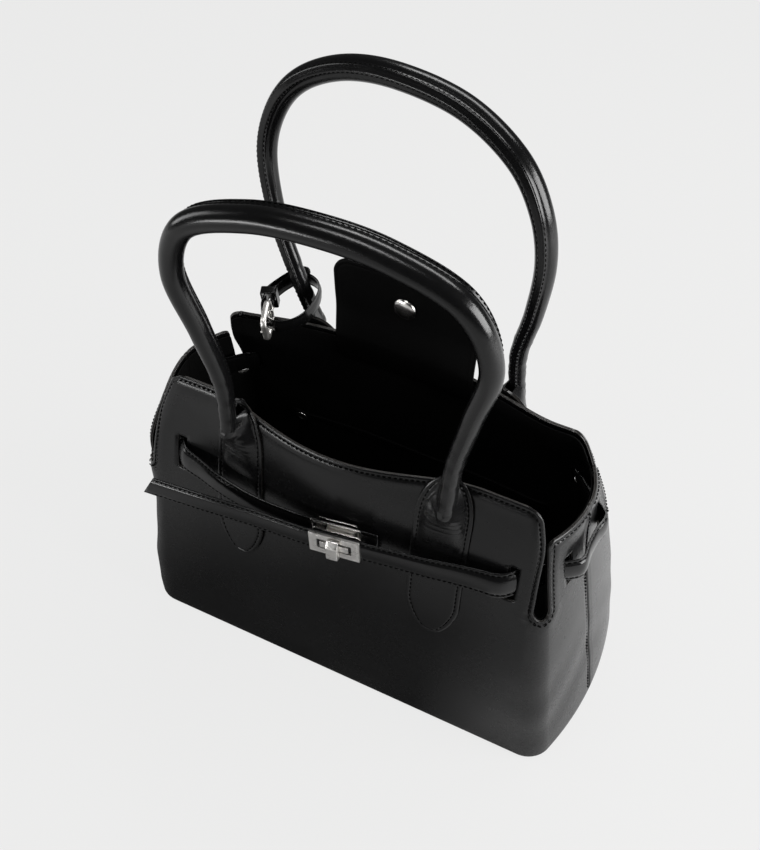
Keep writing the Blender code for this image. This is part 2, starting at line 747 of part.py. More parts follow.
def build_tab(side, right, group):
    heights = list(np.linspace(TAB_POINT_Z, TAB_SIDE_Z, 5))
    heights += [HANDLE_BASE_Z - drop for drop in TAB_ROWS] + [TAB_TOP_Z]
    spread = np.array((-1, -0.66, -0.22, 0.22, 0.66, 1))
    grid, lift = [], []
    for z in heights:
        xs = right * TAB_X + spread * tab_half_width(z)
        grid.append([(x, SIDES[side] * panel_y(x, z, side), z) for x in xs])
        lift.append([pleat_lift(a, z) for a in spread])
    grid, lift = np.array(grid), np.array(lift)[:, :, None]
    normals = np.cross(np.gradient(grid, axis=1), np.gradient(grid, axis=0))
    normals /= np.linalg.norm(normals, axis=2, keepdims=True)
    if side == "back":
        normals = -normals
    inner = grid + normals * TAB_GAP
    outer = grid + normals * (TAB_GAP + TAB_THICK + lift)
    name = "tab_%s_%s" % (side, "right" if right > 0 else "left")
    made = wall_solid(name, outer, inner, False, False, group, leather(name))
    return made


# Handles

def handle_knots(plan):
    """Centre line from the left foot over the crown to the right foot."""
    side = "front" if plan["side"] < 0 else "back"
    top = plan["left"][-1][1]
    line = [*plan["left"], *reversed(plan["right"][:-1])]
    knots = []
    for u, v in line:
        share = v / top
        grown = min(1, share * 1.5)
        x = u + plan["sway"] * grown
        foot_x = math.copysign(plan["left"][0][0], u)
        standing = HANDLE_FOOT_RADIUS + SEAM_RISE + TAB_GAP + TAB_THICK + GAP
        foot_y = panel_y(foot_x, HANDLE_BASE_Z, side) + standing
        reach = half_depth(HANDLE_BASE_Z) + plan["stand"]
        y = foot_y + (reach - foot_y) * min(1, share * 6)
        y += math.sin(plan["lean"]) * v + plan["side"] * x * math.sin(plan["twist"]) * grown
        knots.append((x, plan["side"] * y, HANDLE_BASE_Z + v * math.cos(plan["lean"])))
    return knots


def tube_section(radius, inward, sideways, centre):
    """Round tube with a flat stitched seam standing on its inner side."""
    out = []
    turns = (20, 52, 88, 124, 158, 180, 202, 236, 272, 308, 340)
    for turn in turns:
        angle = math.radians(turn)
        out.append(centre + inward * radius * math.cos(angle) + sideways * radius * math.sin(angle))
    scale = radius / HANDLE_RADIUS
    reach = radius + SEAM_RISE * scale
    out.append(centre + inward * reach - sideways * SEAM_WIDTH / 2 * scale)
    out.append(centre + inward * reach + sideways * SEAM_WIDTH / 2 * scale)
    return out


def build_handle(side, group):
    plan = HANDLES[side]
    path = smooth_path(handle_knots(plan), 0.0125)
    rings = []
    steps = len(path) - 1
    tangents = np.gradient(path, axis=0)
    for i, point in enumerate(path):
        along = Vector(tangents[i]).normalized()
        inward = Vector((0, -plan["side"], SEAM_LIFT))
        inward = (inward - along * inward.dot(along)).normalized()
        sideways = along.cross(inward)
        height = point[2] - HANDLE_BASE_Z
        share = max(0, height / plan["left"][-1][1])
        radius = HANDLE_FOOT_RADIUS + (HANDLE_RADIUS - HANDLE_FOOT_RADIUS) * share ** 1.2
        centre = Vector(point)
        if i in (0, steps):
            outward = -along if i == 0 else along
            cap = []
            for turn in (75, 45, 18):
                angle = math.radians(turn)
                shifted = centre + outward * radius * math.sin(angle)
                cap.append(tube_section(radius * math.cos(angle), inward, sideways, shifted))
            if i == 0:
                rings.extend(cap)
                rings.append(tube_section(radius, inward, sideways, centre))
            else:
                rings.append(tube_section(radius, inward, sideways, centre))
                rings.extend(cap[::-1])
            continue
        rings.append(tube_section(radius, inward, sideways, centre))
    name = "handle_" + side
    return loft(name, rings, group, leather(name))


# Belt

def lock_origin():
    """Middle of the back of the lock, a small clearance off the front panel."""
    return Vector((LOCK_X, -panel_y(LOCK_X, LOCK_Z, "front") - LOCK_STAND, LOCK_Z))


def lock_point(along, depth):
    """Plan position and upright lean near the lock, from the middle of the rear plate."""
    spot = lock_origin() + Vector(LOCK_ALONG) * along + Vector(LOCK_OUT) * depth
    return (spot.x, spot.y, 0)


def front_knot(x, stand, lean):
    return (x, -panel_y(x, BELT_Z, "front") - stand, lean)


def weave(right, side):
    """From outside a panel, through its slot, past the corner and out of the gusset slot."""
    turned = SIDES[side]
    wall = (LEATHER + LINING_GAP + LINING) / 2
    panel_mid = panel_y(right * SLOT_X, BELT_Z, side) - wall
    gusset_mid = gusset_x(SLOT_Y, BELT_Z, right, side) - wall
    knots = [(SLOT_X + u, panel_mid + v) for u, v in PANEL_WEAVE]
    start, out, width = gusset_curve(BELT_Z, right, side)
    slope = math.atan(2 * out * SLOT_Y / width ** 2)
    knots += [(gusset_mid + u * math.cos(slope) - v * math.sin(slope),
               SLOT_Y + u * math.sin(slope) + v * math.cos(slope)) for u, v in GUSSET_WEAVE]
    steep, shallow = wall_lean(right * SLOT_X, side), seam_lean(right)
    leans = [steep] * 3 + [(steep + shallow) / 2] + [shallow] * 3
    return [(right * x, turned * y, lean) for (x, y), lean in zip(knots, leans)]


def belt_knots():
    """Whole belt from the short end at the lock, round the bag, to the long free tail."""
    left_out, right_out = (seam_x(BELT_Z, r) + BELT_THICK / 2 + GUSSET_STAND for r in (-1, 1))
    knots = [lock_point(s, SHORT_BELT_DEPTH) for s in (0.0245, 0.010, -0.004, -0.021)]
    knots += [front_knot(*spot, lean) for spot, lean in zip(BELT_LEFT, BELT_LEFT_LEANS)]
    knots += weave(-1, "front")
    knots += [(-left_out, y, seam_lean(-1)) for y in (-GUSSET_RUN, GUSSET_RUN)]
    knots += weave(-1, "back")[::-1]
    stand = TAB_GAP + TAB_THICK + BELT_THICK / 2 + BELT_BACK_STAND
    knots += [(x, panel_y(x, BELT_Z, "back") + stand, wall_lean(x, "back")) for x in BELT_BACK]
    knots += weave(1, "back")
    knots += [(right_out, y, seam_lean(1)) for y in (GUSSET_RUN, -GUSSET_RUN)]
    knots += weave(1, "front")[::-1]
    knots += [front_knot(*spot, lean) for spot, lean in zip(BELT_RIGHT, BELT_RIGHT_LEANS)]
    knots += [lock_point(s, LONG_BELT_DEPTH) for s in (0.025, 0.010, -0.006, -0.021)]
    knots += [front_knot(*spot, 0) for spot in BELT_TAIL]
    return knots


def flat_section(point, along, width, thick, middle, slant=0, lean=0):
    """Padded flat strap, thin at both edges; it can lean and its end can be cut on the slant."""
    across = Vector((along[1], -along[0], 0)).normalized()
    forward = Vector((along[0], along[1], 0)).normalized()
    out = []
    for u, v in ((0.45, 0.5), (1, 0.32), (1, -0.32), (0.45, -0.5), (-0.45, -0.5), (-1, -0.32),
                 (-1, 0.32), (-0.45, 0.5)):
        height = v * width
        shift = forward * (-slant * height) + across * (lean * height)
        spot = Vector((point[0], point[1], middle + height))
        out.append(spot + across * (u * thick / 2) + shift)
    return out


def build_belt(group, slot_cutter):
    path = smooth_path(belt_knots(), BELT_STEP, 2)
    tangents = np.gradient(path, axis=0)
    rings = []
    for i, point in enumerate(path):
        slant = TAIL_SLANT if i == len(path) - 1 else 0
        rings.append(flat_section(point, tangents[i], BELT_WIDTH, BELT_THICK, BELT_Z, slant, point[2]))
    made = loft("belt", rings, group, leather("belt"))
    cut(made, slot_cutter)
    return made


# Turn lock

def lock_prism(name, outline, start, end, group, finish=None):
    return prism(name, outline, lock_origin(), LOCK_ALONG, (0, 0, 1), LOCK_OUT, start, end, group, finish)


def build_lock(group, tools):
    slot = rounded_box(LOCK_SLOT_LENGTH / 2, LOCK_SLOT_HEIGHT / 2, 0.0009)
    window = lock_prism("lock_window", slot, WASHER_DEPTH - 0.001, BOSS_DEPTH + 0.004, tools)
    plate = rounded_box(PLATE_LENGTH / 2, PLATE_HEIGHT / 2, 0.0008, 2)
    small = rounded_box(PLATE_LENGTH * 0.38, PLATE_HEIGHT * 0.38, 0.0010, 2)
    right, rise = BACK_PLATE_SHIFT
    small = [(u + right, v + rise) for u, v in small]
    back_plate = [(u + right, v + rise) for u, v in plate]
    lock_prism("lock_rear_plate", small, 0, REAR_PLATE_DEPTH, group, metal("lock_rear_plate"))
    base = lock_prism("lock_base", back_plate, BASE_PLATE_DEPTH, BASE_PLATE_DEPTH + PLATE_THICK, group,
                      metal("lock_base"))
    boss_shape = rounded_box(BOSS_LENGTH / 2, BOSS_HEIGHT / 2, 0.0008, 2)
    boss = lock_prism("lock_boss", boss_shape, BASE_PLATE_DEPTH + PLATE_THICK / 2, BOSS_DEPTH, tools)
    bore_shape = arc((0, 0), SHAFT_RADIUS + SHAFT_CLEARANCE, 0, 345, 23)
    bore = lock_prism("lock_bore", bore_shape, WASHER_DEPTH, BOSS_DEPTH + 0.002, tools)
    cut(base, boss, "UNION")
    cut(base, bore)
    washer_shape = rounded_box(PLATE_LENGTH * 0.47, PLATE_HEIGHT * 0.42, 0.0010, 2)
    washer = lock_prism("lock_washer", washer_shape, WASHER_DEPTH, WASHER_DEPTH + REAR_PLATE_DEPTH,
                        group, metal("lock_washer"))
    cut(washer, window)
    frame = lock_prism("lock_frame", plate, FRAME_DEPTH, FRAME_DEPTH + FRAME_THICK, group,
                       metal("lock_frame"))
    cut(frame, window)
    soften(frame, 0.0003, 1)
    profile = [(0, TOGGLE_LENGTH / 2), (TOGGLE_DEPTH * 0.35, TOGGLE_LENGTH / 2),
               (TOGGLE_DEPTH, TOGGLE_LENGTH * 0.24), (TOGGLE_DEPTH, -TOGGLE_LENGTH * 0.42),
               (TOGGLE_DEPTH * 0.7, -TOGGLE_LENGTH / 2), (0, -TOGGLE_LENGTH / 2)]
    start = lock_origin() + Vector(LOCK_OUT) * TOGGLE_START
    toggle = prism("lock_toggle", profile, start, LOCK_OUT, (0, 0, 1), LOCK_ALONG,
                   -TOGGLE_WIDTH / 2, TOGGLE_WIDTH / 2, group, metal("lock_toggle"))
    soften(toggle, 0.0003, 1)
    shaft_shape = arc((0, 0), SHAFT_RADIUS, 0, 345, 23)
    shaft = lock_prism("toggle_shaft", shaft_shape, WASHER_DEPTH + 0.002,
                       TOGGLE_START + TOGGLE_DEPTH / 2, tools)
    cut(toggle, shaft, "UNION")
    return window


# Closing flap and snaps

def flap_y():
    """The flap stands in the back wall, a little inside its outer face."""
    return panel_y(BOW["back"][1], RIM_HEIGHT, "back") - FLAP_SETBACK


def build_flap(group):
    """Flat flap whose lower edge follows the dip of the back rim."""
    low = []
    for i in range(9):
        x = FLAP_X - FLAP_HALF + 2 * FLAP_HALF * i / 8
        near = min(1, abs((x - BOW["back"][1]) / 0.1))
        low.append((x, RIM_HEIGHT - RIM_DIP * (1 - near ** 2) ** 2 + 0.0006))
    right = FLAP_X + FLAP_HALF - FLAP_ROUND
    left = FLAP_X - FLAP_HALF + FLAP_ROUND
    top = FLAP_TOP_Z - FLAP_ROUND
    outline = low + arc((right, top), FLAP_ROUND, 0, 90, 6) + arc((left, top), FLAP_ROUND, 90, 180, 6)
    prism("closure_flap", outline, (0, flap_y(), 0), (1, 0, 0), (0, 0, 1), (0, 1, 0),
          -FLAP_THICK / 2, FLAP_THICK / 2, group, leather("closure_flap"))


def turned(name, profile, origin, outward, group, finish, count=24):
    """Round piece from a profile of (radius, distance out) pairs, from the outside down to its back."""
    outward = Vector(outward).normalized()
    across = Vector((0, 0, 1)).cross(outward).normalized()
    data = bpy.data.meshes.new(name)
    line = [(0, 0, profile[-1][1])] + [(r, 0, reach) for r, reach in reversed(profile)] + [(0, 0, profile[0][1])]
    data.from_pydata(line, [(i, i + 1) for i in range(len(line) - 1)], [])
    helper = bpy.data.objects.new(name, data)
    group.objects.link(helper)
    step = helper.modifiers.new("turn", "SCREW")
    step.axis = "Z"
    step.steps = step.render_steps = count
    step.use_merge_vertices = True
    step.merge_threshold = WELD
    helper.matrix_world = frame_matrix(origin, across, outward.cross(across), outward)
    return settle(helper, name, group, finish)


def build_snaps(group):
    r = SNAP_RADIUS
    dome = [(r * 0.97, 0), (r, 0.0006), (r * 0.97, 0.0012), (r * 0.82, 0.0017), (r * 0.55, 0.0024),
            (r * 0.25, 0.0028)]
    front_face = flap_y() - FLAP_THICK / 2 - GAP
    turned("flap_snap", dome, (SNAP_X, front_face, SNAP_Z), (0, -1, 0), group, metal("flap_snap"))
    x, z = SNAP_X, MAGNET_Z
    slope = (panel_y(x, z + 0.004, "front") - panel_y(x, z - 0.004, "front")) / 0.008
    out = Vector((0, 1, slope)).normalized()
    place = Vector((x, -panel_y(x, z, "front"), z)) + out * (LEATHER + LINING_GAP + LINING + 3 * GAP)
    m = MAGNET_RADIUS
    puck = [(m, 0), (m, MAGNET_THICK * 0.6), (m * 0.88, MAGNET_THICK), (m * 0.4, MAGNET_THICK)]
    turned("front_magnet", puck, place, out, group, leather("front_magnet"))


def build_pocket(group):
    xs = np.linspace(-POCKET_HALF, POCKET_HALF, 13)
    heights = np.linspace(POCKET_BASE_Z, POCKET_TOP_Z, 5)
    grid = np.array([[(x, panel_y(x, z, "back"), z) for x in xs] for z in heights])
    normals = -np.cross(np.gradient(grid, axis=1), np.gradient(grid, axis=0))
    normals /= np.linalg.norm(normals, axis=2, keepdims=True)
    start = LEATHER + LINING_GAP + LINING + 2 * GAP
    back = (grid - normals * start)[:, ::-1]
    made = skin_mesh("inner_pocket", back, False, False, group, leather("inner_pocket"))
    thicken(made, POCKET_THICK)
    z = STUD_Z
    place = Vector((STUD_X, panel_y(STUD_X, z, "back"), z))
    slope = (panel_y(STUD_X, z + 0.004, "back") - panel_y(STUD_X, z - 0.004, "back")) / 0.008
    turn = (panel_y(STUD_X + 0.004, z, "back") - panel_y(STUD_X - 0.004, z, "back")) / 0.008
    out = Vector((turn, -1, slope)).normalized()
    place += out * (start + POCKET_THICK + GAP)
    r = STUD_RADIUS
    ring = [(r, 0), (r, 0.0008), (r * 0.8, 0.0013), (r * 0.55, 0.0013), (r * 0.45, 0.0007),
            (r * 0.15, 0.0007)]
    turned("pocket_stud", ring, place, out, group, metal("pocket_stud"), 20)
    return made


# Buckled strap

def buckle_frame_axes():
    along = Vector(BUCKLE_ALONG).normalized()
    out = Vector((-along.y, along.x, 0))
    return along, out


def charm_leg():
    """Middle of the handle leg that the strap hangs on."""
    return Vector((CHARM_LEG_X, half_depth(HANDLE_BASE_Z) + CHARM_LEG_STAND, CHARM_Z))


def buckle_spot(along_share, depth):
    along, out = buckle_frame_axes()
    return charm_leg() + Vector((*BUCKLE_OFFSET, 0)) + along * along_share + out * depth


def charm_knots():
    """Fixed end behind the buckle, round the leg, through the buckle's frame, then the free tail."""
    half = BUCKLE_LENGTH / 2
    leg = charm_leg()
    first = [buckle_spot(half + 0.0036, -0.0008), buckle_spot(half + 0.0085, -0.0012),
             buckle_spot(half + 0.0140, -0.0018)]
    knots = [(p.x, p.y) for p in first]
    knots += [(leg.x + u, leg.y + v) for u, v in CHARM_LOOP]
    last = [buckle_spot(-0.0030, -0.0020),
            buckle_spot(0.0010, 0.0020),
            buckle_spot(half - 0.0010, HEEL_CROSSING),
            buckle_spot(half + 0.0070, HEEL_CROSSING - 0.0006),
            buckle_spot(half + 0.0140, HEEL_CROSSING - 0.0016)]
    knots += [(p.x, p.y) for p in last]
    knots += [(leg.x + u, leg.y + v) for u, v in CHARM_TAIL]
    return knots


def build_charm(group, tools):
    path = smooth_path(charm_knots(), 0.0050, 2)
    tangents = np.gradient(path, axis=0)
    rings = []
    for i, point in enumerate(path):
        narrow = 0.6 if i == len(path) - 1 else 1
        rings.append(flat_section(point, tangents[i], CHARM_WIDTH * narrow, CHARM_THICK, CHARM_Z))
    strap = loft("charm_strap", rings, group, leather("charm_strap"))
    along, out = buckle_frame_axes()
    half = BUCKLE_LENGTH / 2
    hole = rounded_box(0.0062, 0.0013, 0.0012)
    cutter = prism("prong_hole", hole, buckle_spot(0.0010, 0), along, (0, 0, 1), out, -0.004, 0.0045, tools)
    cut(strap, cutter)

    up = Vector((0, 0, 1))
    loop = rounded_box(half, BUCKLE_HEIGHT / 2, 0.0042, 4)
    wire("buckle_frame", [buckle_spot(u, 0) + up * v for u, v in loop], WIRE, True, group,
         metal("buckle_frame"))

    heel = buckle_spot(half, 0)
    tip = buckle_spot(-half - 0.0012, WIRE + PRONG + GAP)
    start = buckle_spot(half - WIRE - PRONG - 0.0004, 0.0004)
    prong = wire("buckle_prong", [start, tip], PRONG, False, group, metal("buckle_prong"))
    eye = []
    for radius in (WIRE + GAP, WIRE + GAP + 2 * PRONG):
        eye.append(arc((0, 0), radius, 0, 345, 23))
    sleeve = prism("prong_eye", eye[1], heel, along, out, (0, 0, 1), -PRONG * 1.2, PRONG * 1.2, tools)
    bore = prism("prong_bore", eye[0], heel, along, out, (0, 0, 1), -0.003, 0.003, tools)
    cut(prong, sleeve, "UNION")
    cut(prong, bore)

    keep_half = CHARM_WIDTH / 2
    outer = rounded_box(0.0054, keep_half + 0.0017, 0.0010, 2)
    inner = rounded_box(0.0044, keep_half + 0.0007, 0.0006, 2)
    spot = buckle_spot(half + 0.0100, 0.0014)
    keeper = prism("charm_keeper", outer, spot, out, (0, 0, 1), along, -0.0030, 0.0030, group,
                   leather("charm_keeper"))
    hollow = prism("keeper_hollow", inner, spot, out, (0, 0, 1), along, -0.006, 0.006, tools)
    cut(keeper, hollow)


def tilt_charm(names):
    """Let the whole strap hang down towards its buckle, about the handle leg."""
    leg = charm_leg()
    turn = Matrix.Translation(leg) @ Matrix.Rotation(CHARM_TILT, 4, "X") @ Matrix.Translation(-leg)
    for name in names:
        bpy.data.objects[name].data.transform(turn)
    return turn


def hinge_on(name, point):
    """Move the origin of a part to its joint axis without moving its surface."""
    part = bpy.data.objects[name]
    part.data.transform(Matrix.Translation(-Vector(point)))
    part.location = Vector(point)


def foot_point(side):
    """Middle of the line through both feet of a handle."""
    knots = handle_knots(HANDLES[side])
    return (Vector(knots[0]) + Vector(knots[-1])) / 2


def main():
    clear_scene()
    bag = new_collection("black_tote_bag")
    tools = new_collection("cutters")
    front_cuts = build_cuts("front", tools)
    back_cuts = build_cuts("back", tools)
    build_shell("front", bag, front_cuts, build_seam("front", tools))
    build_shell("back", bag, back_cuts, build_seam("back", tools))
    build_lining(bag, (front_cuts, back_cuts))
    build_base(bag)
    for side in SIDES:
        for right in (-1, 1):
            build_tab(side, right, bag)
        build_handle(side, bag)
    window = build_lock(bag, tools)
    build_belt(bag, window)
    build_flap(bag)
    build_snaps(bag)
    build_pocket(bag)
    build_charm(bag, tools)
    turn = tilt_charm(("charm_strap", "charm_keeper", "buckle_frame", "buckle_prong"))
    for name in ("prong_hole", "keeper_hollow", "prong_eye", "prong_bore"):
        bpy.data.objects[name].data.transform(turn)
    for side in SIDES:
        hinge_on("handle_" + side, foot_point(side))
    hinge_on("lock_toggle", lock_origin())
    for name in ("closure_flap", "flap_snap"):
        hinge_on(name, (FLAP_X, flap_y(), FLAP_HINGE_Z))
    for name in ("charm_strap", "charm_keeper", "buckle_frame"):
        hinge_on(name, charm_leg())
    hinge_on("buckle_prong", turn @ buckle_spot(BUCKLE_LENGTH / 2, 0))
    for cutter in tools.objects:
        cutter.hide_render = True
        cutter.display_type = "WIRE"


main()
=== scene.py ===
# Black leather tote: woven belt, turn lock, two rolled handles, closing flap, buckled strap.
import json
import math

import bmesh
import bpy
import numpy as np
from mathutils import Matrix, Vector

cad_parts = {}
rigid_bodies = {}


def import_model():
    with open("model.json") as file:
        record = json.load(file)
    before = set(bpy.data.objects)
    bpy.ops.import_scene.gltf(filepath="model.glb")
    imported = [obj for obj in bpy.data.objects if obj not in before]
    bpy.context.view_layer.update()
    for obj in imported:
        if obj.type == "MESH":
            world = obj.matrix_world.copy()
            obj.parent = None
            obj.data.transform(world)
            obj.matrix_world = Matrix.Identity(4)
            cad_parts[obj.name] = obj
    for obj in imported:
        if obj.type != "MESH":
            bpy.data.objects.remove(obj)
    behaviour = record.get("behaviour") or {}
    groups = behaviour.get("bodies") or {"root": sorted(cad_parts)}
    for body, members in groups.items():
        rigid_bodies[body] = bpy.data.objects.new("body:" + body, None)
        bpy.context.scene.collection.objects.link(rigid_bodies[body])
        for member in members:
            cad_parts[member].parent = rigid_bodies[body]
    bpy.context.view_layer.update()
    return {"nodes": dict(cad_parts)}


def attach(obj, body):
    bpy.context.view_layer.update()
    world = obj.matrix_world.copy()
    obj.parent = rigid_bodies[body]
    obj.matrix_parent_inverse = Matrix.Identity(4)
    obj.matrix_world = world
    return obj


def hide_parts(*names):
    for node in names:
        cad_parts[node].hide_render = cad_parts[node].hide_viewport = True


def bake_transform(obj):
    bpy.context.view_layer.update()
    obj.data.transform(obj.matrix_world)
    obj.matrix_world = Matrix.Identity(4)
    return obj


for item in list(bpy.data.objects):
    bpy.data.objects.remove(item, do_unlink=True)
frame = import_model()
print("frame loaded:", len(frame["nodes"]), "nodes")

sides = {"front": -1, "back": 1}
handName = {-1: "left", 1: "right"}


# camera, at the place that the photograph was taken from

cameraPlan = {"place": (0.2687, -0.4650, 0.7723), "azimuth": 29.67, "elevation": 47.08, "roll": -2.27,
              "lens": 52.83}


def makeCamera(plan):
    # forward points down into the scene; right is level; the roll turns both about forward
    a, e, r = (math.radians(plan[k]) for k in ("azimuth", "elevation", "roll"))
    forward = Vector((-math.sin(a) * math.cos(e), math.cos(a) * math.cos(e), -math.sin(e)))
    level = Vector((math.cos(a), math.sin(a), 0))
    upward = level.cross(forward)
    across = level * math.cos(r) + upward * math.sin(r)
    top = upward * math.cos(r) - level * math.sin(r)
    data = bpy.data.cameras.new("camera")
    data.lens, data.sensor_width = plan["lens"], 36
    data.clip_start, data.clip_end = 0.01, 20
    made = bpy.data.objects.new("camera", data)
    bpy.context.scene.collection.objects.link(made)
    turn = Matrix((across, top, -forward)).transposed()
    made.matrix_world = Matrix.Translation(plan["place"]) @ turn.to_4x4()
    bpy.context.scene.camera = made


makeCamera(cameraPlan)
print("camera placed")


# shader maths

class Signal:
    # one output socket of a material; sums, products and powers of signals add Math nodes

    def __init__(self, tree, socket=None):
        self.tree, self.socket = tree, socket

    def node(self, kind, settings=None, sockets=None, out=0):
        # "stops" sets a colour ramp; the inputs are numbers, colours or other signals
        made = self.tree.nodes.new("ShaderNode" + kind)
        for key, value in (settings or {}).items():
            if key == "stops":
                points = made.color_ramp.elements
                while len(points) < len(value):
                    points.new(0.5)
                for point, (place, colour) in zip(points, value):
                    point.position, point.color = place, colour
            else:
                setattr(made, key, value)
        for key, value in (sockets or {}).items():
            if isinstance(value, Signal):
                self.tree.links.new(value.socket, made.inputs[key])
            else:
                made.inputs[key].default_value = value
        return Signal(self.tree, made.outputs[out])

    def maths(self, operation, first, second=0.0):
        return self.node("Math", {"operation": operation}, {0: first, 1: second})

    def __add__(self, other):
        return self.maths("ADD", self, other)

    def __radd__(self, other):
        return self.maths("ADD", other, self)

    def __sub__(self, other):
        return self.maths("SUBTRACT", self, other)

    def __mul__(self, other):
        return self.maths("MULTIPLY", self, other)


def newFinish(name):
    made = bpy.data.materials.new(name)
    made.use_nodes = True
    tree = made.node_tree
    shader = tree.nodes["Principled BSDF"]
    return made, Signal(tree), shader


def feed(shader, key, value):
    if isinstance(value, Signal):
        value.tree.links.new(value.socket, shader.inputs[key])
    else:
        shader.inputs[key].default_value = value


def leatherFinish(name, look):
    # fine pores and a soft orange peel over black calf; the sheen varies slowly over the surface
    made, start, shader = newFinish(name)
    here = start.node("TexCoord", out="Object")
    pores = start.node("TexVoronoi", {"feature": "F1"}, {"Vector": here, "Scale": look["pores"]})
    grain = start.node("TexNoise", {}, {"Vector": here, "Scale": look["pores"] * 0.55, "Detail": 4.0})
    peel = start.node("TexNoise", {}, {"Vector": here, "Scale": 70.0, "Detail": 2.0})
    slow = start.node("TexNoise", {}, {"Vector": here, "Scale": 14.0, "Detail": 3.0})
    rub = start.node("TexNoise", {}, {"Vector": here, "Scale": 210.0, "Detail": 5.0})
    height = pores * look["poreDepth"] + grain * look["grainDepth"] + peel * look["peelDepth"]
    bump = start.node("Bump", {}, {"Height": height, "Strength": 1.0, "Distance": 0.001})
    sheen = look["roughness"] + (slow - 0.5) * look["sheenRange"] + (rub - 0.5) * 0.06
    tone = start.node("ValToRGB", {"stops": ((0.30, (*look["dark"], 1)), (0.72, (*look["light"], 1)))},
                      {"Fac": slow * 0.6 + rub * 0.4})
    feed(shader, "Base Color", tone)
    feed(shader, "Roughness", sheen)
    feed(shader, "Normal", bump)
    shader.inputs["Specular IOR Level"].default_value = look["gloss"]
    shader.inputs["Coat Weight"].default_value = look["coat"]
    shader.inputs["Coat Roughness"].default_value = look["coatRoughness"]
    return made


leatherLook = {"pores": 1300.0, "poreDepth": 0.03, "grainDepth": 0.05, "peelDepth": 0.10, "roughness": 0.27,
               "sheenRange": 0.10, "dark": (0.0022, 0.0022, 0.0023), "light": (0.0042, 0.0042, 0.0044),
               "gloss": 0.24, "coat": 0.10, "coatRoughness": 0.20}
strapLook = dict(leatherLook, roughness=0.21, coat=0.14, coatRoughness=0.12)
# cut edges: an edge paint tone, lighter than the body, that is partly a painted highlight where the edges
# catch the light
edgeToneAndHighlightLook = dict(leatherLook, roughness=0.34, dark=(0.016, 0.015, 0.014), light=(0.03, 0.028, 0.026), coat=0.3)
liningLook = dict(leatherLook, roughness=0.85, coat=0.0, gloss=0.06, dark=(0.0018, 0.0018, 0.0018),
                  light=(0.0030, 0.0030, 0.0030), pores=2400.0)
flapLook = dict(leatherLook, roughness=0.60, coat=0.0, gloss=0.05, dark=(0.0010, 0.0010, 0.0010),
                light=(0.0018, 0.0018, 0.0018))
threadLook = dict(leatherLook, roughness=0.90, coat=0.0, gloss=0.04, dark=(0.0008, 0.0008, 0.0008),
                  light=(0.0016, 0.0016, 0.0016), pores=5200.0, poreDepth=0.15)
smoothLeather = leatherFinish("smoothCalf", leatherLook)
strapLeather = leatherFinish("strapCalf", strapLook)
edgeToneAndHighlight = leatherFinish("edgePaintAndHighlight", edgeToneAndHighlightLook)
liningCloth = leatherFinish("liningCloth", liningLook)
flapLeather = leatherFinish("flapCalf", flapLook)
blackThread = leatherFinish("blackThread", threadLook)


def metalFinish(name, look):
    # brushed metal: long noise streaks along one axis change the roughness and a faint bump
    made, start, shader = newFinish(name)
    here = start.node("TexCoord", out="Object")
    turned = start.node("Mapping", {}, {"Vector": here, "Rotation": (0, 0, -look["turn"]),
                                        "Scale": look["stretch"]})
    streaks = start.node("TexNoise", {}, {"Vector": turned, "Scale": 1.0, "Detail": 4.0})
    marks = start.node("TexNoise", {}, {"Vector": here, "Scale": 240.0, "Detail": 4.0})
    bump = start.node("Bump", {}, {"Height": streaks, "Strength": look["brush"], "Distance": 0.0002})
    tone = start.node("ValToRGB", {"stops": ((0.25, (*look["dark"], 1)), (0.75, (*look["light"], 1)))},
                      {"Fac": streaks * 0.6 + marks * 0.4})
    feed(shader, "Base Color", tone)
    feed(shader, "Roughness", look["roughness"] + (streaks - 0.5) * 0.16 + (marks - 0.5) * 0.10)
    feed(shader, "Normal", bump)
    shader.inputs["Metallic"].default_value = 1.0
    return made


brushedLook = {"turn": math.radians(8), "stretch": (60.0, 900.0, 2600.0), "brush": 0.35, "roughness": 0.30,
               "dark": (0.72, 0.70, 0.67), "light": (0.90, 0.885, 0.86)}
polishedLook = dict(brushedLook, brush=0.05, roughness=0.20, stretch=(200.0, 200.0, 200.0))
satinLook = dict(brushedLook, brush=0.10, roughness=0.42, stretch=(900.0, 900.0, 120.0))
brushedSteel = metalFinish("brushedSteel", brushedLook)
polishedSteel = metalFinish("polishedSteel", polishedLook)
mirrorSteel = metalFinish("mirrorSteel", dict(polishedLook, roughness=0.13))
satinSteel = metalFinish("satinSteel", satinLook)
print("finishes mixed")


# mesh helpers

def gridFaces(rows, cols, wrap=False, skip=None):
    # quads of a rows by cols point grid, as one array; skip marks quads that are left open
    spans = cols if wrap else cols - 1
    r, c = np.meshgrid(np.arange(rows - 1), np.arange(spans), indexing="ij")
    n = (c + 1) % cols
    quads = np.stack([r * cols + c, r * cols + n, (r + 1) * cols + n, (r + 1) * cols + c], -1)
    if skip is not None:
        return quads[~skip]
    return quads.reshape(-1, 4)


def addPiece(name, points, faces, finish, body, merge=0.0):
    data = bpy.data.meshes.new(name)
    data.from_pydata(np.asarray(points, float).reshape(-1, 3).tolist(), [], [list(f) for f in faces])
    if merge:
        work = bmesh.new()
        work.from_mesh(data)
        bmesh.ops.remove_doubles(work, verts=work.verts, dist=merge)
        bmesh.ops.recalc_face_normals(work, faces=work.faces)
        work.to_mesh(data)
        work.free()
    data.shade_smooth()
    made = bpy.data.objects.new(name, data)
    bpy.context.scene.collection.objects.link(made)
    for each in finish if isinstance(finish, tuple) else (finish,):
        data.materials.append(each)
    if body:
        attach(made, body)
    return made


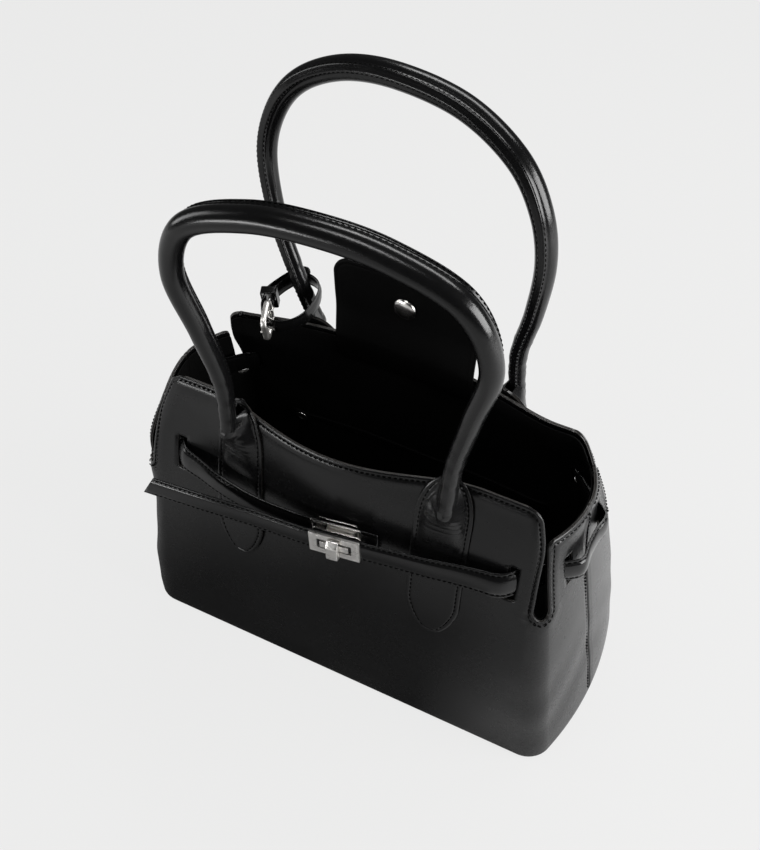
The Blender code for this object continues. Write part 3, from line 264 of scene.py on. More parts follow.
def closedSweep(name, grid, finish, body, ring=False):
    # skin over a row of closed sections; the last one joins the first in a ring, or both ends are capped
    if ring:
        grid = np.concatenate([grid, grid[:1]])
    rows, cols = grid.shape[:2]
    faces = [*gridFaces(rows, cols, wrap=True)]
    if not ring:
        faces += [range(cols), range((rows - 1) * cols, rows * cols)]
    return addPiece(name, grid, faces, finish, body, merge=0.000001)


def thicken(piece, depth, offset=-1, rimFinish=0):
    step = piece.modifiers.new("thickness", "SOLIDIFY")
    step.thickness, step.offset = depth, offset
    step.use_even_offset = False
    step.material_offset_rim = rimFinish


def smoothPath(knots, step, dims=3):
    # Catmull-Rom curve through the knots, sampled again at even distances in its first dims columns
    pts = np.array(knots, dtype=float)
    pts = np.vstack([2 * pts[0] - pts[1], pts, 2 * pts[-1] - pts[-2]])
    t = np.linspace(0, 1, 32, endpoint=False)[:, None]
    out = []
    for p0, p1, p2, p3 in zip(pts, pts[1:], pts[2:], pts[3:]):
        out.append(0.5 * (2 * p1 + (p2 - p0) * t + (2 * p0 - 5 * p1 + 4 * p2 - p3) * t ** 2
                          + (3 * p1 - p0 - 3 * p2 + p3) * t ** 3))
    out = np.vstack(out + [pts[-2:-1]])
    run = np.r_[0, np.cumsum(np.linalg.norm(np.diff(out[:, :dims], axis=0), axis=1))]
    marks = np.linspace(0, run[-1], max(2, round(run[-1] / step)) + 1)
    return np.stack([np.interp(marks, run, out[:, k]) for k in range(out.shape[1])], 1)


def unit(v):
    return v / np.maximum(np.linalg.norm(v, axis=-1, keepdims=True), 1e-12)


straightUp = np.array((0, 0, 1.0))


def eased(value, low, high):
    # smooth step: share^2 * (3 - 2 * share), from 0 at low to 1 at high
    share = np.clip((value - low) / (high - low), 0, 1)
    return share * share * (3 - 2 * share)


def bell(value, middle, width):
    # exp(-((value - middle) / width)^2)
    return np.exp(-((value - middle) / width) ** 2)


def circleSpots(count):
    # cosine and sine of evenly spread angles, as two columns
    turn = np.arange(count) * 2 * math.pi / count
    return np.stack([np.cos(turn), np.sin(turn)], 1)


def evenly(path, extra, pitch):
    # points of a path and the values that go with it, at even distances
    run = np.r_[0, np.cumsum(np.linalg.norm(np.diff(path, axis=0), axis=1))]
    count = max(2, int(run[-1] / pitch))
    marks = (np.arange(count) + 0.5) * run[-1] / count
    pick = lambda data: np.stack([np.interp(marks, run, data[:, k]) for k in range(data.shape[1])], 1)
    return pick(path), pick(extra)


stitchPlan = {"pitch": 0.0034, "length": 0.0025, "radius": 0.00042, "sides": 6,
              "place": (-0.5, -0.40, -0.16, 0.16, 0.40, 0.5), "girth": (0.35, 0.80, 1.0, 1.0, 0.80, 0.35),
              "lift": (-0.9, -0.1, 0.35, 0.35, -0.1, -0.9)}


def stitchRow(path, normals):
    # one small bowed capsule per stitch: rings along its length, sunk into the leather at both ends
    spots, outs = evenly(path, normals, stitchPlan["pitch"])
    along = unit(np.gradient(spots, axis=0))
    outs = unit(outs - along * np.sum(along * outs, 1, keepdims=True))
    sideways = np.cross(along, outs)
    place, girth, lift = (np.array(stitchPlan[key])[:, None] for key in ("place", "girth", "lift"))
    count = stitchPlan["sides"]
    ring = circleSpots(count)
    local = np.zeros((len(place), count, 3))
    local[..., 0] = place * stitchPlan["length"]
    local[..., 1] = girth * stitchPlan["radius"] * ring[:, 0]
    local[..., 2] = girth * stitchPlan["radius"] * ring[:, 1] + lift * stitchPlan["radius"]
    local = local.reshape(-1, 3)
    points = (spots[:, None] + along[:, None] * local[None, :, :1] + sideways[:, None] * local[None, :, 1:2]
              + outs[:, None] * local[None, :, 2:])
    shift = (np.arange(len(spots)) * len(local))[:, None, None]
    quads = (gridFaces(len(place), count, wrap=True)[None] + shift).reshape(-1, 4)
    caps = np.stack([np.arange(count)[::-1], np.arange(len(local) - count, len(local))])
    caps = (caps[None] + shift).reshape(-1, count)
    return points.reshape(-1, 3), [*quads, *caps]


def addStitches(name, rows, body):
    points, faces, base = [], [], 0
    for path, normals in rows:
        p, f = stitchRow(path, normals)
        points.append(p)
        faces.extend([face + base for face in f])
        base += len(p)
    return addPiece(name, np.vstack(points), faces, blackThread, body)


# the bag's own skin: every leather layer of the body is read from these functions

bag = {"baseLength": 0.3145, "baseDepth": 0.1400, "rimLength": 0.264, "rimDepth": 0.069, "rimZ": 0.216,
       "rimDip": 0.003, "gussetZ": 0.193, "gussetRise": 0.003, "gussetPower": 1.3,
       "bulgeShares": (0, 0.28, 0.56, 0.76, 0.90), "bulgeBlend": 0.05,
       "bulge": {-1: (0.0070, 0.0045, 0.0060, 0.0100, 0.0100), 1: (0.0070, 0.0050, 0.0052, 0.0070, 0.0120)},
       "flare": {("front", -1): 0.0102, ("front", 1): 0.0020, ("back", -1): 0, ("back", 1): 0.0025},
       "flareDrop": 0.062, "flareSpread": 0.038,
       "baseCorner": 0.018, "rimCorner": 0.012, "cornerBlendZ": 0.14, "lipZ": 0.0004, "lipRadius": 0.0045,
       "lipInset": 0.0072,
       "bow": {"front": (0.0170, -0.006, 0.095, 2), "back": (0.0165, -0.010, 0.120, 3)}}
notch = {"baseZ": 0.1435, "radius": 0.0060, "shift": -0.0013, "lineZ": 0.150, "waistZ": 0.165, "neckZ": 0.190,
         "edge": {"panel": (-0.0073, -0.0028, 0.0043), "gusset": (0.0047, 0.0046, 0.0063)},
         "round": {"panel": 0.0095, "gusset": 0.0042}}
partTop = {"panel": bag["rimZ"], "gusset": bag["gussetZ"]}
# which way a part's edge is drawn back by a round
partSign = {"panel": -1, "gusset": 1}
belt = {"z": 0.1605, "width": 0.0180, "thick": 0.0030, "slotX": 0.1195, "slotY": 0.026,
        "slotHeight": {"front": 0.0254, "back": 0.0210}, "gussetStand": 0.0013, "slant": 0.56,
        "wall": 0.0044, "gussetRun": 0.006,
        "left": ((-0.035, 0.0091, 0.02), (-0.056, 0.0115, 0.06), (-0.080, 0.0114, 0.12),
                 (-0.100, 0.0074, 0.20)),
        "right": ((0.100, 0.0062, 0.20), (0.080, 0.0082, 0.12), (0.056, 0.0102, 0.04)),
        "tail": ((-0.048, 0.0203, 0), (-0.083, 0.0293, 0), (-0.122, 0.0336, 0)),
        "back": (-0.100, -0.075, -0.045, -0.012, 0.025, 0.060, 0.085, 0.102), "backStand": 0.0059,
        "panelWeave": ((-0.0105, 0.0074), (-0.0043, 0.0046), (0.0035, -0.0036), (0.0085, -0.0080)),
        "gussetWeave": ((-0.0042, 0.0044), (0.0036, -0.0034), (0.0069, -0.0096))}


def plainLength(z):
    share = np.maximum(z, 0) / bag["rimZ"]
    return bag["baseLength"] / 2 - (bag["baseLength"] - bag["rimLength"]) / 2 * share ** bag["gussetPower"]


def flare(z, right, side):
    return bag["flare"][side, right] * bell(z, bag["rimZ"] - bag["flareDrop"], bag["flareSpread"])


def halfLength(z, right, side):
    return plainLength(z) + flare(z, right, side)


def seamX(z, right):
    # centre seam of a gusset: the mean of three nearby readings keeps its bulge smooth
    steps = (-bag["bulgeBlend"], 0, bag["bulgeBlend"])
    near = [np.interp(z / bag["rimZ"] + step, bag["bulgeShares"], bag["bulge"][right]) for step in steps]
    return plainLength(z) + sum(near) / 3


def halfDepth(z):
    return bag["baseDepth"] / 2 - (bag["baseDepth"] - bag["rimDepth"]) / 2 * (z / bag["rimZ"]) ** 2


def cornerRadius(z):
    return bag["baseCorner"] + (bag["rimCorner"] - bag["baseCorner"]) * np.minimum(1, z / bag["cornerBlendZ"])


def bow(x, z, side):
    depth, centre, half, power = bag["bow"][side]
    share = np.minimum(1, np.abs((x - centre) / half))
    return depth * (z / bag["rimZ"]) ** 2 * (1 - share ** power) ** 2


def panelY(x, z, side):
    return halfDepth(z) + bow(x, z, side)


def cornerEnd(z, right, side):
    # angle where the corner's round runs smoothly into the gusset
    return np.arctan2(halfDepth(z) - cornerRadius(z), 2 * (seamX(z, right) - halfLength(z, right, side)))


def gussetCurve(z, right, side):
    # where the gusset starts, how far it bulges from there, and its half width
    turn = cornerEnd(z, right, side)
    start = halfLength(z, right, side) - cornerRadius(z) * (1 - np.sin(turn))
    return start, seamX(z, right) - start, halfDepth(z) - cornerRadius(z) * (1 - np.cos(turn))


def gussetX(y, z, right, side):
    start, out, width = gussetCurve(z, right, side)
    return start + out * (1 - (y / width) ** 2)


def cornerRun(z, right, side):
    # distance along the skin, from the panel's middle, at which the corner starts and ends
    start = halfLength(z, right, side) - cornerRadius(z)
    return start, start + cornerRadius(z) * cornerEnd(z, right, side)


def seamRun(z, right, side):
    return cornerRun(z, right, side)[1] + gussetCurve(z, right, side)[2]


def skinPoint(run, z, right, side):
    # plan of the wall at height z: flat panel that bows out, round corner, then a bulging gusset
    start, end = cornerRun(z, right, side)
    radius = cornerRadius(z)
    turn = np.clip((run - start) / radius, 0, cornerEnd(z, right, side))
    y = gussetCurve(z, right, side)[2] - (run - end)
    x = np.where(run < end, start + radius * np.sin(turn), gussetX(y, z, right, side))
    x = np.where(run < start, run, x)
    y = np.where(run < start, panelY(right * run, z, side),
                 np.where(run < end, halfDepth(z) - radius + radius * np.cos(turn), y))
    return np.stack([right * x, sides[side] * y, z + 0 * x], -1)


def skinNormal(run, z, right, side):
    step = 0.0006
    across = skinPoint(run + step, z, right, side) - skinPoint(run - step, z, right, side)
    upward = skinPoint(run, z + step, right, side) - skinPoint(run, z - step, right, side)
    return unit(np.cross(across, upward)) * right * -sides[side]


def rimZ(x, side):
    near = np.minimum(1, np.abs((x - bag["bow"][side][1]) / 0.1))
    return bag["rimZ"] - bag["rimDip"] * (1 - near ** 2) ** 2


def gussetTop(run, z, right, side):
    # the gusset's top edge climbs a little from the notch to the centre seam
    share = np.clip((run - cornerRun(z, right, side)[1]) / gussetCurve(z, right, side)[2], 0, 1)
    return bag["gussetZ"] + bag["gussetRise"] * np.sin(math.pi / 2 * share) ** 2


def notchSide(z, part):
    # sideways place of the notch's edge at each height: round bottom, narrow waist, narrower neck
    knots = (notch["baseZ"], notch["waistZ"], notch["neckZ"])
    edge = lambda height: np.interp(height, knots, notch["edge"][part])
    out = np.where(z > notch["baseZ"] + 0.006, 0.5 * (edge(z - 0.004) + edge(z + 0.004)), edge(z))
    low = np.sqrt(np.maximum(0, notch["radius"] ** 2 - (z - notch["baseZ"]) ** 2))
    out = np.where(z < notch["baseZ"], notch["shift"] + partSign[part] * low, out)
    return np.where(z < notch["baseZ"] - notch["radius"], notch["shift"], out)


def notchPlace(p, z, right, side):
    # sideways place of a point along the corner; the notch slants with the corner's flare
    rise = bag["gussetZ"] - notch["lineZ"]
    slant = (flare(bag["gussetZ"], right, side) - flare(notch["lineZ"], right, side)) / rise
    lineX = halfLength(notch["lineZ"], right, side) - bag["rimCorner"] + slant * (z - notch["lineZ"])
    lineY = halfDepth(notch["lineZ"]) - bag["rimCorner"]
    return ((np.abs(p[..., 0]) - lineX) - (np.abs(p[..., 1]) - lineY)) * math.sqrt(0.5)


def edgeRun(zRow, part, right, side):
    # distance along the skin where the sideways place is the notch's edge, row by row
    target = notchSide(zRow, part)
    out = []
    for z, place in zip(zRow, target):
        start, end = cornerRun(z, right, side)
        run = np.linspace(start - 0.02, end + 0.02, 160)
        p = skinPoint(run, np.full_like(run, z), right, side)
        out.append(np.interp(place, notchPlace(p, z, right, side), run))
    return np.array(out)


def roundedEdge(z, part, right, side):
    # the notch's edge row by row, drawn back along a quarter round where it meets the part's top
    radius = notch["round"][part]
    drop = np.clip(radius - (partTop[part] - z), 0, None)
    back = radius - np.sqrt(np.maximum(0, radius ** 2 - drop ** 2))
    return edgeRun(z, part, right, side) + partSign[part] * back


def footRows(run, right, side):
    # quarter round from the turned-in lip up to the wall, drawn in along the level normal, and its heights
    turn = np.radians(np.linspace(90, 0, 9))[:-1]
    insets = np.r_[bag["lipInset"], bag["lipRadius"] * (1 - np.cos(turn))]
    heights = bag["lipZ"] + np.r_[0, bag["lipRadius"] * (1 - np.sin(turn))]
    out = unit(skinNormal(run, np.full_like(run, 0.004), right, side) * (1, 1, 0))
    rows = [skinPoint(run, np.full_like(run, height), right, side) - out * inset
            for inset, height in zip(insets, heights)]
    return np.array(rows), heights


def blended(fixed, share, zRow):
    # a column that stands upright beside the slots and spreads out evenly away from them
    away = eased(np.abs(zRow - belt["z"]) - belt["slotHeight"]["front"] / 2, 0, 0.030)
    return fixed * (1 - away) + share * away


def slotEnds(side):
    return belt["z"] - belt["slotHeight"][side] / 2, belt["z"] + belt["slotHeight"][side] / 2


slotHigh = slotEnds("front")[1]


def arcRows(low, high, count):
    return low + (high - low) * np.sin(np.linspace(0, math.pi / 2, count))


def wallRows(part, start, side):
    # heights of the grid's rows, with rows on the slots' ends and close rows at every round
    bottom = notch["baseZ"] - notch["radius"]
    top, rounding = partTop[part], notch["round"][part]
    lowEnd, highEnd = slotEnds(side)
    bend = bottom + notch["radius"] * (1 - np.cos(np.linspace(0, math.pi / 2, 9)))
    rows = [np.linspace(start, bottom, 36), bend[1:], np.linspace(notch["baseZ"], lowEnd, 4)[1:],
            np.linspace(lowEnd, highEnd, 14)[1:], np.linspace(highEnd, top - rounding, 14)[1:],
            arcRows(top - rounding, top, 15)[1:]]
    return np.concatenate(rows)


def followTop(z, part, top):
    # heights over the slots are stretched evenly up to the part's own top edge
    stretched = slotHigh + (z - slotHigh) * (top - slotHigh) / (partTop[part] - slotHigh)
    return np.where(z > slotHigh, stretched, z)


borderSteps = np.array([0.0046, 0.0038, 0.0032, 0.0026, 0.0020, 0.0014, 0.0009, 0.0005, 0.0002, 0.0])
# the columns of each part's grid between which its slot lies
slotColumns = {"panel": slice(44, 49), "gusset": slice(14, 21)}


def panelColumns(edge, zRow, right, side, layer):
    # distances along the skin from the panel's middle to its slot, across the slot and on to the edge
    middle = edgeRun(np.array([belt["z"]]), "panel", right, side)[0]
    first, second = (blended(place, place / middle * edge, zRow)[:, None]
                     for place in (belt["slotX"] - layer["slotStart"], belt["slotX"] + layer["slotEnd"]))
    border = edge[:, None] - second
    last = border * 0.999 - borderSteps[None] * np.minimum(1, border / 0.0065)
    return np.hstack([first * np.linspace(0, 1, 45), first + (second - first) * np.linspace(0, 1, 6)[1:],
                      second + last[:, :1] * np.linspace(0, 1, 5)[1:-1], second + last])


def gussetColumns(edge, seam, layer):
    # distances along the skin from the gusset's edge to its slot, across the slot and on to the seam
    edge, seam = edge[:, None], seam[:, None]
    inner, outer = (seam - belt["slotY"] - step for step in layer["gussetSlot"])
    close = edge + borderSteps[::-1] * np.minimum(1, (inner - edge) / 0.0056)
    last = close[:, -1:]
    return np.hstack([close, last + (inner - last) * np.linspace(0, 1, 6)[1:],
                      inner + (outer - inner) * np.linspace(0, 1, 8)[1:],
                      outer + (seam - outer) * np.linspace(0, 1, 13)[1:]])


def softWaves(p, side):
    # slow swelling and a few slack folds, larger low down and by the gusset's corners
    x, y, z = p[..., 0], p[..., 1], p[..., 2]
    wave = 0.0007 * np.sin(38 * x + 9 * z + 0.6) * np.sin(27 * z + 0.4)
    wave += 0.0004 * np.sin(71 * x - 40 * z + 1.3 + 3 * y)
    fold = np.sin(150 * (z + 0.55 * np.abs(y)) + 2.0 + 8 * y)
    wave += 0.0003 * bell(np.abs(x), 0.150, 0.022) * fold * bell(z, 0.050, 0.040)
    return wave * np.clip(z / 0.02, 0, 1) * np.clip((bag["rimZ"] - z) / 0.03 + 0.25, 0, 1)


# depths, places and widths of what the needle leaves beside an edge and beside a gusset's seam
sewing = {"inset": 0.0028, "seam": 0.0032, "sink": 0.00012,
          "edge": ((-0.00050, 0.0028, 0.00075), (-0.00040, 0, 0.0006), (0.00035, 0.0062, 0.0022)),
          "gusset": ((-0.0008, 0, 0.0011), (-0.0003, 0.0032, 0.0007))}


def pressed(distance, marks):
    return sum(depth * bell(distance, place, width) for depth, place, width in marks)


def notchDistance(run, z, right, side):
    # distance from the notch's round bottom, for points below its centre
    sideways = notchPlace(skinPoint(run, z, right, side), z, right, side)
    far = np.hypot(sideways - notch["shift"], z - notch["baseZ"]) - notch["radius"]
    return np.where(z < notch["baseZ"], far, 1.0)


def wallGrid(part, right, side, layer):
    # points of one patch of a layer, from the panel's middle or from the gusset's edge, and their heights
    zRow = wallRows(part, layer["start"], side)
    zRow = zRow[zRow >= layer["from"]]
    edge, seam = roundedEdge(zRow, part, right, side), seamRun(zRow, right, side) - 0.0002
    if part == "panel":
        run = panelColumns(edge, zRow, right, side, layer)
    else:
        run = gussetColumns(edge, seam, layer)
    z = np.repeat(zRow[:, None], run.shape[1], 1)
    top = rimZ(right * run, side) if part == "panel" else gussetTop(run, z, right, side)
    z = followTop(z, part, top)
    away = np.where(z < notch["baseZ"], top - z, np.minimum(np.abs(edge[:, None] - run), top - z))
    away = np.minimum(away, notchDistance(run, z, right, side))
    p = skinPoint(run, z, right, side)
    lift = pressed(away, sewing["edge"]) * layer["detail"] + softWaves(p, side)
    if part == "gusset":
        lift = lift + layer["detail"] * pressed(seam[:, None] - run, sewing["gusset"])
    grid = p + skinNormal(run, z, right, side) * (lift - layer["inset"])[..., None]
    grid[..., 2] -= layer["drop"] * np.clip((z - slotHigh) / 0.02, 0, 1)
    if layer["foot"]:
        rows, heights = footRows(run[0], right, side)
        grid, z = np.vstack([rows, grid]), np.vstack([np.repeat(heights[:, None], z.shape[1], 1), z])
    return grid, z


def bodyLayer(name, side, layer, finish, replaced=()):
    # one layer of one side: a panel between two half gussets, with the slots left open
    points, faces, base = [], [], 0
    lowEnd, highEnd = slotEnds(side)
    for right in (-1, 1):
        for part in ("panel", "gusset"):
            grid, z = wallGrid(part, right, side, layer)
            rows, cols = grid.shape[:2]
            middle = 0.5 * (z[1:, :-1] + z[:-1, :-1])
            level = (middle > lowEnd + layer["slotTrim"]) & (middle < highEnd - layer["slotTrim"])
            skip = np.zeros((rows - 1, cols - 1), bool)
            skip[:, slotColumns[part]] = level[:, slotColumns[part]]
            quads = gridFaces(rows, cols, skip=skip)
            if right * sides[side] > 0:
                quads = quads[:, ::-1]
            faces.append(quads + base)
            points.append(grid.reshape(-1, 3))
            base += rows * cols
    made = addPiece(name, np.vstack(points), np.vstack(faces), finish, "bag", merge=0.00004)
    thicken(made, layer["thick"], -1, 1 if isinstance(finish, tuple) else 0)
    if replaced:
        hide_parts(*replaced)
    return made


outerLayer = {"inset": 0.0, "thick": 0.00105, "start": 0.0049, "from": 0.0, "foot": True, "detail": 1.0,
              "drop": 0.0, "slotTrim": 0.0, "slotStart": 0.0050, "slotEnd": 0.0022,
              "gussetSlot": (0.0015, -0.0055)}
facingLayer = {"inset": 0.00122, "thick": 0.0008, "start": 0.0049, "from": 0.120, "foot": False,
               "detail": 0.6, "drop": 0.0001, "slotTrim": 0.0, "slotStart": 0.0040, "slotEnd": 0.0030,
               "gussetSlot": (0.0028, -0.0045)}
liningLayer = {"inset": 0.0030, "thick": 0.0008, "start": 0.0060, "from": 0.0, "foot": False, "detail": 0.0,
               "drop": 0.0025, "slotTrim": 0.0013, "slotStart": 0.0002, "slotEnd": 0.0036,
               "gussetSlot": (0.0052, -0.0020)}
for side in sides:
    bodyLayer("outer_" + side, side, outerLayer, (smoothLeather, edgeToneAndHighlight),
              (side + "_shell",))
    bodyLayer("facing_" + side, side, facingLayer, (smoothLeather, edgeToneAndHighlight))
    inside = bodyLayer("cloth_" + side, side, liningLayer, liningCloth)
    if side == "front":
        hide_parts("lining")
print("body layers laid")


def wallSpots(run, z, right, side):
    # points just under the skin where a thread lies, and the skin's normals there
    n = skinNormal(run, z, right, side)
    return skinPoint(run, z, right, side) - n * sewing["sink"], n


def offsetLine(run, z, distance):
    # the same line moved sideways in the plane of (run, height)
    along = unit(np.gradient(np.stack([run, z], 1), axis=0))
    return run - along[:, 1] * distance, z + along[:, 0] * distance


def bodyStitches(side):
    # along the edges of both parts, and down the front of each gusset's seam
    rows = []
    for right in (-1, 1):
        for part in ("panel", "gusset"):
            z = wallRows(part, outerLayer["start"], side)
            z = z[z >= notch["baseZ"] - notch["radius"] - 1e-9]
            edge = roundedEdge(z, part, right, side)
            if part == "panel":
                along = np.linspace(edge[-1], 0, 60)[1:]
                z = np.r_[followTop(z, part, rimZ(right * edge, side)), rimZ(right * along, side)]
            else:
                along = np.linspace(edge[-1], seamRun(bag["gussetZ"], right, side) - sewing["seam"], 26)[1:]
                z = np.r_[z, gussetTop(along, np.full_like(along, bag["gussetZ"]), right, side)]
            line = offsetLine(np.r_[edge, along], z, -partSign[part] * sewing["inset"])
            rows.append(wallSpots(*line, right, side))
        down = np.linspace(bag["gussetZ"] - 0.001, 0.008, 60)
        if side == "front":
            rows.append(wallSpots(seamRun(down, right, side) - sewing["seam"], down, right, side))
    addStitches("stitches_" + side, rows, "bag")


for side in sides:
    bodyStitches(side)
print("body sewn")


# handle tabs: flat tongues sewn on round their rims

tab = {"x": 0.0705, "half": 0.0173, "pointZ": 0.0985, "sideZ": 0.124, "archZ": 0.186, "topZ": 0.2195,
       "thick": 0.0016, "gap": 0.0006, "press": ((-0.00045, 0.0025, 0.0007), (-0.0005, 0, 0.0007)),
       "sewn": 0.0026, "sewnEnd": 0.0028, "sink": 0.0004}


def tabHalf(z):
    low = np.clip((tab["sideZ"] - z) / (tab["sideZ"] - tab["pointZ"]), 0, 1)
    high = np.clip((z - tab["archZ"]) / (tab["topZ"] - tab["archZ"]), 0, 1)
    half = tab["half"] * np.sqrt(1 - low ** 1.3) * np.sqrt(1 - high ** 2.4)
    return half + 0.0004


def buildTab(side, right):
    rise = np.linspace(0, 1, 121)
    z = tab["pointZ"] + (tab["topZ"] - tab["pointZ"]) * (0.5 - 0.5 * np.cos(math.pi * rise)) ** 0.94
    across, z = np.meshgrid(np.sin(np.linspace(-math.pi / 2, math.pi / 2, 41)), z)
    half = tabHalf(z)
    run = np.abs(right * tab["x"] + across * half)
    ends = np.minimum(z - tab["pointZ"], tab["topZ"] - z) + 0.0005
    away = np.minimum((1 - np.abs(across)) * half, ends)
    lift = tab["gap"] + pressed(away, tab["press"])
    grid = skinPoint(run, z, right, side) + skinNormal(run, z, right, side) * lift[..., None]
    quads = gridFaces(*z.shape)
    if sides[side] > 0:
        quads = quads[:, ::-1]
    name = "tab_%s_%s" % (side, handName[right])
    made = addPiece(name + "_leather", grid, quads, (smoothLeather, edgeToneAndHighlight), "bag")
    thicken(made, tab["thick"], 1, 1)
    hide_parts(name)
    z = np.linspace(tab["pointZ"] + tab["sewnEnd"], tab["topZ"] - tab["sewnEnd"], 90)
    rows = []
    for sign in (-1, 1):
        run = np.abs(right * tab["x"] + sign * np.maximum(tabHalf(z) - tab["sewn"], 0.0006))
        n = skinNormal(run, z, right, side)
        rows.append((skinPoint(run, z, right, side) + n * (tab["gap"] + tab["thick"] - tab["sink"]), n))
    addStitches(name + "_stitches", rows, "bag")


for side in sides:
    for right in handName:
        buildTab(side, right)
print("tabs sewn")


# handles: round cord core wrapped in leather, its two edges sewn into a flat ridge

handlePlan = {
    "baseZ": 0.1935, "footRadius": 0.0052, "radius": 0.0076, "step": 0.0028, "tabStand": 0.0027,
    "ridgeWidth": 0.0052, "ridgeRise": 0.0024, "ridgeLift": 0.55, "sewnFrom": 0.012,
    "thin": 0.50, "thinTo": 0.206, "drawIn": 0.0052, "drawInTo": 0.2085, "around": 34,
    "wrinkle": {"depth": 0.00020, "middle": 0.035, "spread": 0.035}, "cap": (25, 50, 72, 86),
    "front": {"lean": math.radians(2.8), "twist": math.radians(3.0), "sway": 0.004, "reach": 0.0481,
              "left": ((-0.0735, 0), (-0.0742, 0.012), (-0.0752, 0.052), (-0.0838, 0.095), (-0.0935, 0.138),
                       (-0.0790, 0.1760), (-0.0400, 0.1935), (0, 0.1975)),
              "right": ((0.0735, 0), (0.0745, 0.012), (0.0766, 0.052), (0.0855, 0.095), (0.0940, 0.138),
                        (0.0790, 0.1755), (0.0400, 0.1930), (0, 0.1975))},
    "back": {"lean": math.radians(3.5), "twist": math.radians(-7.2), "sway": -0.015, "reach": 0.0549,
             "left": ((-0.0725, 0), (-0.0755, 0.012), (-0.0850, 0.048), (-0.0958, 0.085), (-0.0990, 0.125),
                      (-0.0890, 0.158), (-0.0690, 0.184), (-0.0370, 0.2020), (0, 0.2085)),
             "right": ((0.0725, 0), (0.0735, 0.012), (0.0775, 0.048), (0.0895, 0.085), (0.0985, 0.125),
                       (0.0940, 0.158), (0.0765, 0.185), (0.0430, 0.2040), (0, 0.2085))},
}


def handleKnots(side):
    # (sideways, height) outline of both legs, leaned, twisted seen from above, and stood off the bag
    plan = handlePlan[side]
    half = plan["right"]
    top = half[-1][1]
    line = [*plan["left"], *reversed(half[:-1])]
    knots = []
    standing = handlePlan["footRadius"] + handlePlan["ridgeRise"] + handlePlan["tabStand"]
    for u, v in line:
        share = v / top
        grown = min(1, share * 1.5)
        x = u + plan["sway"] * grown
        footY = float(panelY(math.copysign(half[0][0], u), handlePlan["baseZ"], side)) + standing
        y = footY + (plan["reach"] - footY) * min(1, share * 6)
        y += math.sin(plan["lean"]) * v + sides[side] * x * math.sin(plan["twist"]) * grown
        knots.append((x, sides[side] * y, handlePlan["baseZ"] + v * math.cos(plan["lean"])))
    return knots


def sweep(path, profile, inward, sideways):
    # profile[..., 0] is laid along the inward direction and profile[..., 1] along the sideways one
    inward, sideways = (np.broadcast_to(way, path.shape)[:, None] for way in (inward, sideways))
    return path[:, None] + inward * profile[..., :1] + sideways * profile[..., 1:]


def ridgedTube(radius):
    # circle that runs up into a flat-topped ridge on its inner side; the groove lies at the ridge's foot
    scale = radius / handlePlan["radius"]
    turn = np.radians(np.linspace(34, 326, handlePlan["around"]))
    circle = np.stack([np.cos(turn), np.sin(turn)], 1)[None] * radius[:, None, None]
    half = handlePlan["ridgeWidth"] / 2
    rise = handlePlan["ridgeRise"]
    shape = np.array([(-0.10, -0.98), (0.30, -1.0), (0.75, -1.02), (0.95, -0.90), (1.0, -0.60), (0.97, -0.1),
                      (0.97, 0.1), (1.0, 0.60), (0.95, 0.90), (0.75, 1.02), (0.30, 1.0), (-0.10, 0.98)])
    ridge = np.zeros((len(radius), len(shape), 2))
    ridge[..., 0] = radius[:, None] + shape[None, :, 0] * rise * scale[:, None]
    ridge[..., 1] = shape[None, :, 1] * half * scale[:, None]
    ridge[:, :, 0] -= np.where(np.abs(shape[None, :, 0]) < 0.2, 0.0003, 0)
    return np.concatenate([circle, ridge], 1)


def footShape(path, side):
    # y and radius along a leg: near its foot the tube thins and comes in towards the panel
    z, foot = path[:, 2], handlePlan["baseZ"]
    share = np.clip((z - foot) / handlePlan[side]["left"][-1][1], 0, 1)
    radius = handlePlan["footRadius"] + (handlePlan["radius"] - handlePlan["footRadius"]) * share ** 1.2
    thin = handlePlan["thin"] + (1 - handlePlan["thin"]) * eased(z, foot, handlePlan["thinTo"])
    drawn = handlePlan["drawIn"] * (1 - eased(z, foot, handlePlan["drawInTo"]))
    return path[:, 1] - sides[side] * drawn, radius * thin


def blendLeg(piece, side):
    # bakes the piece's transform into its mesh; the feet's mean y is worked out but not used
    y = float(np.mean([handleKnots(side)[0][1], handleKnots(side)[-1][1]]))
    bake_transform(piece)


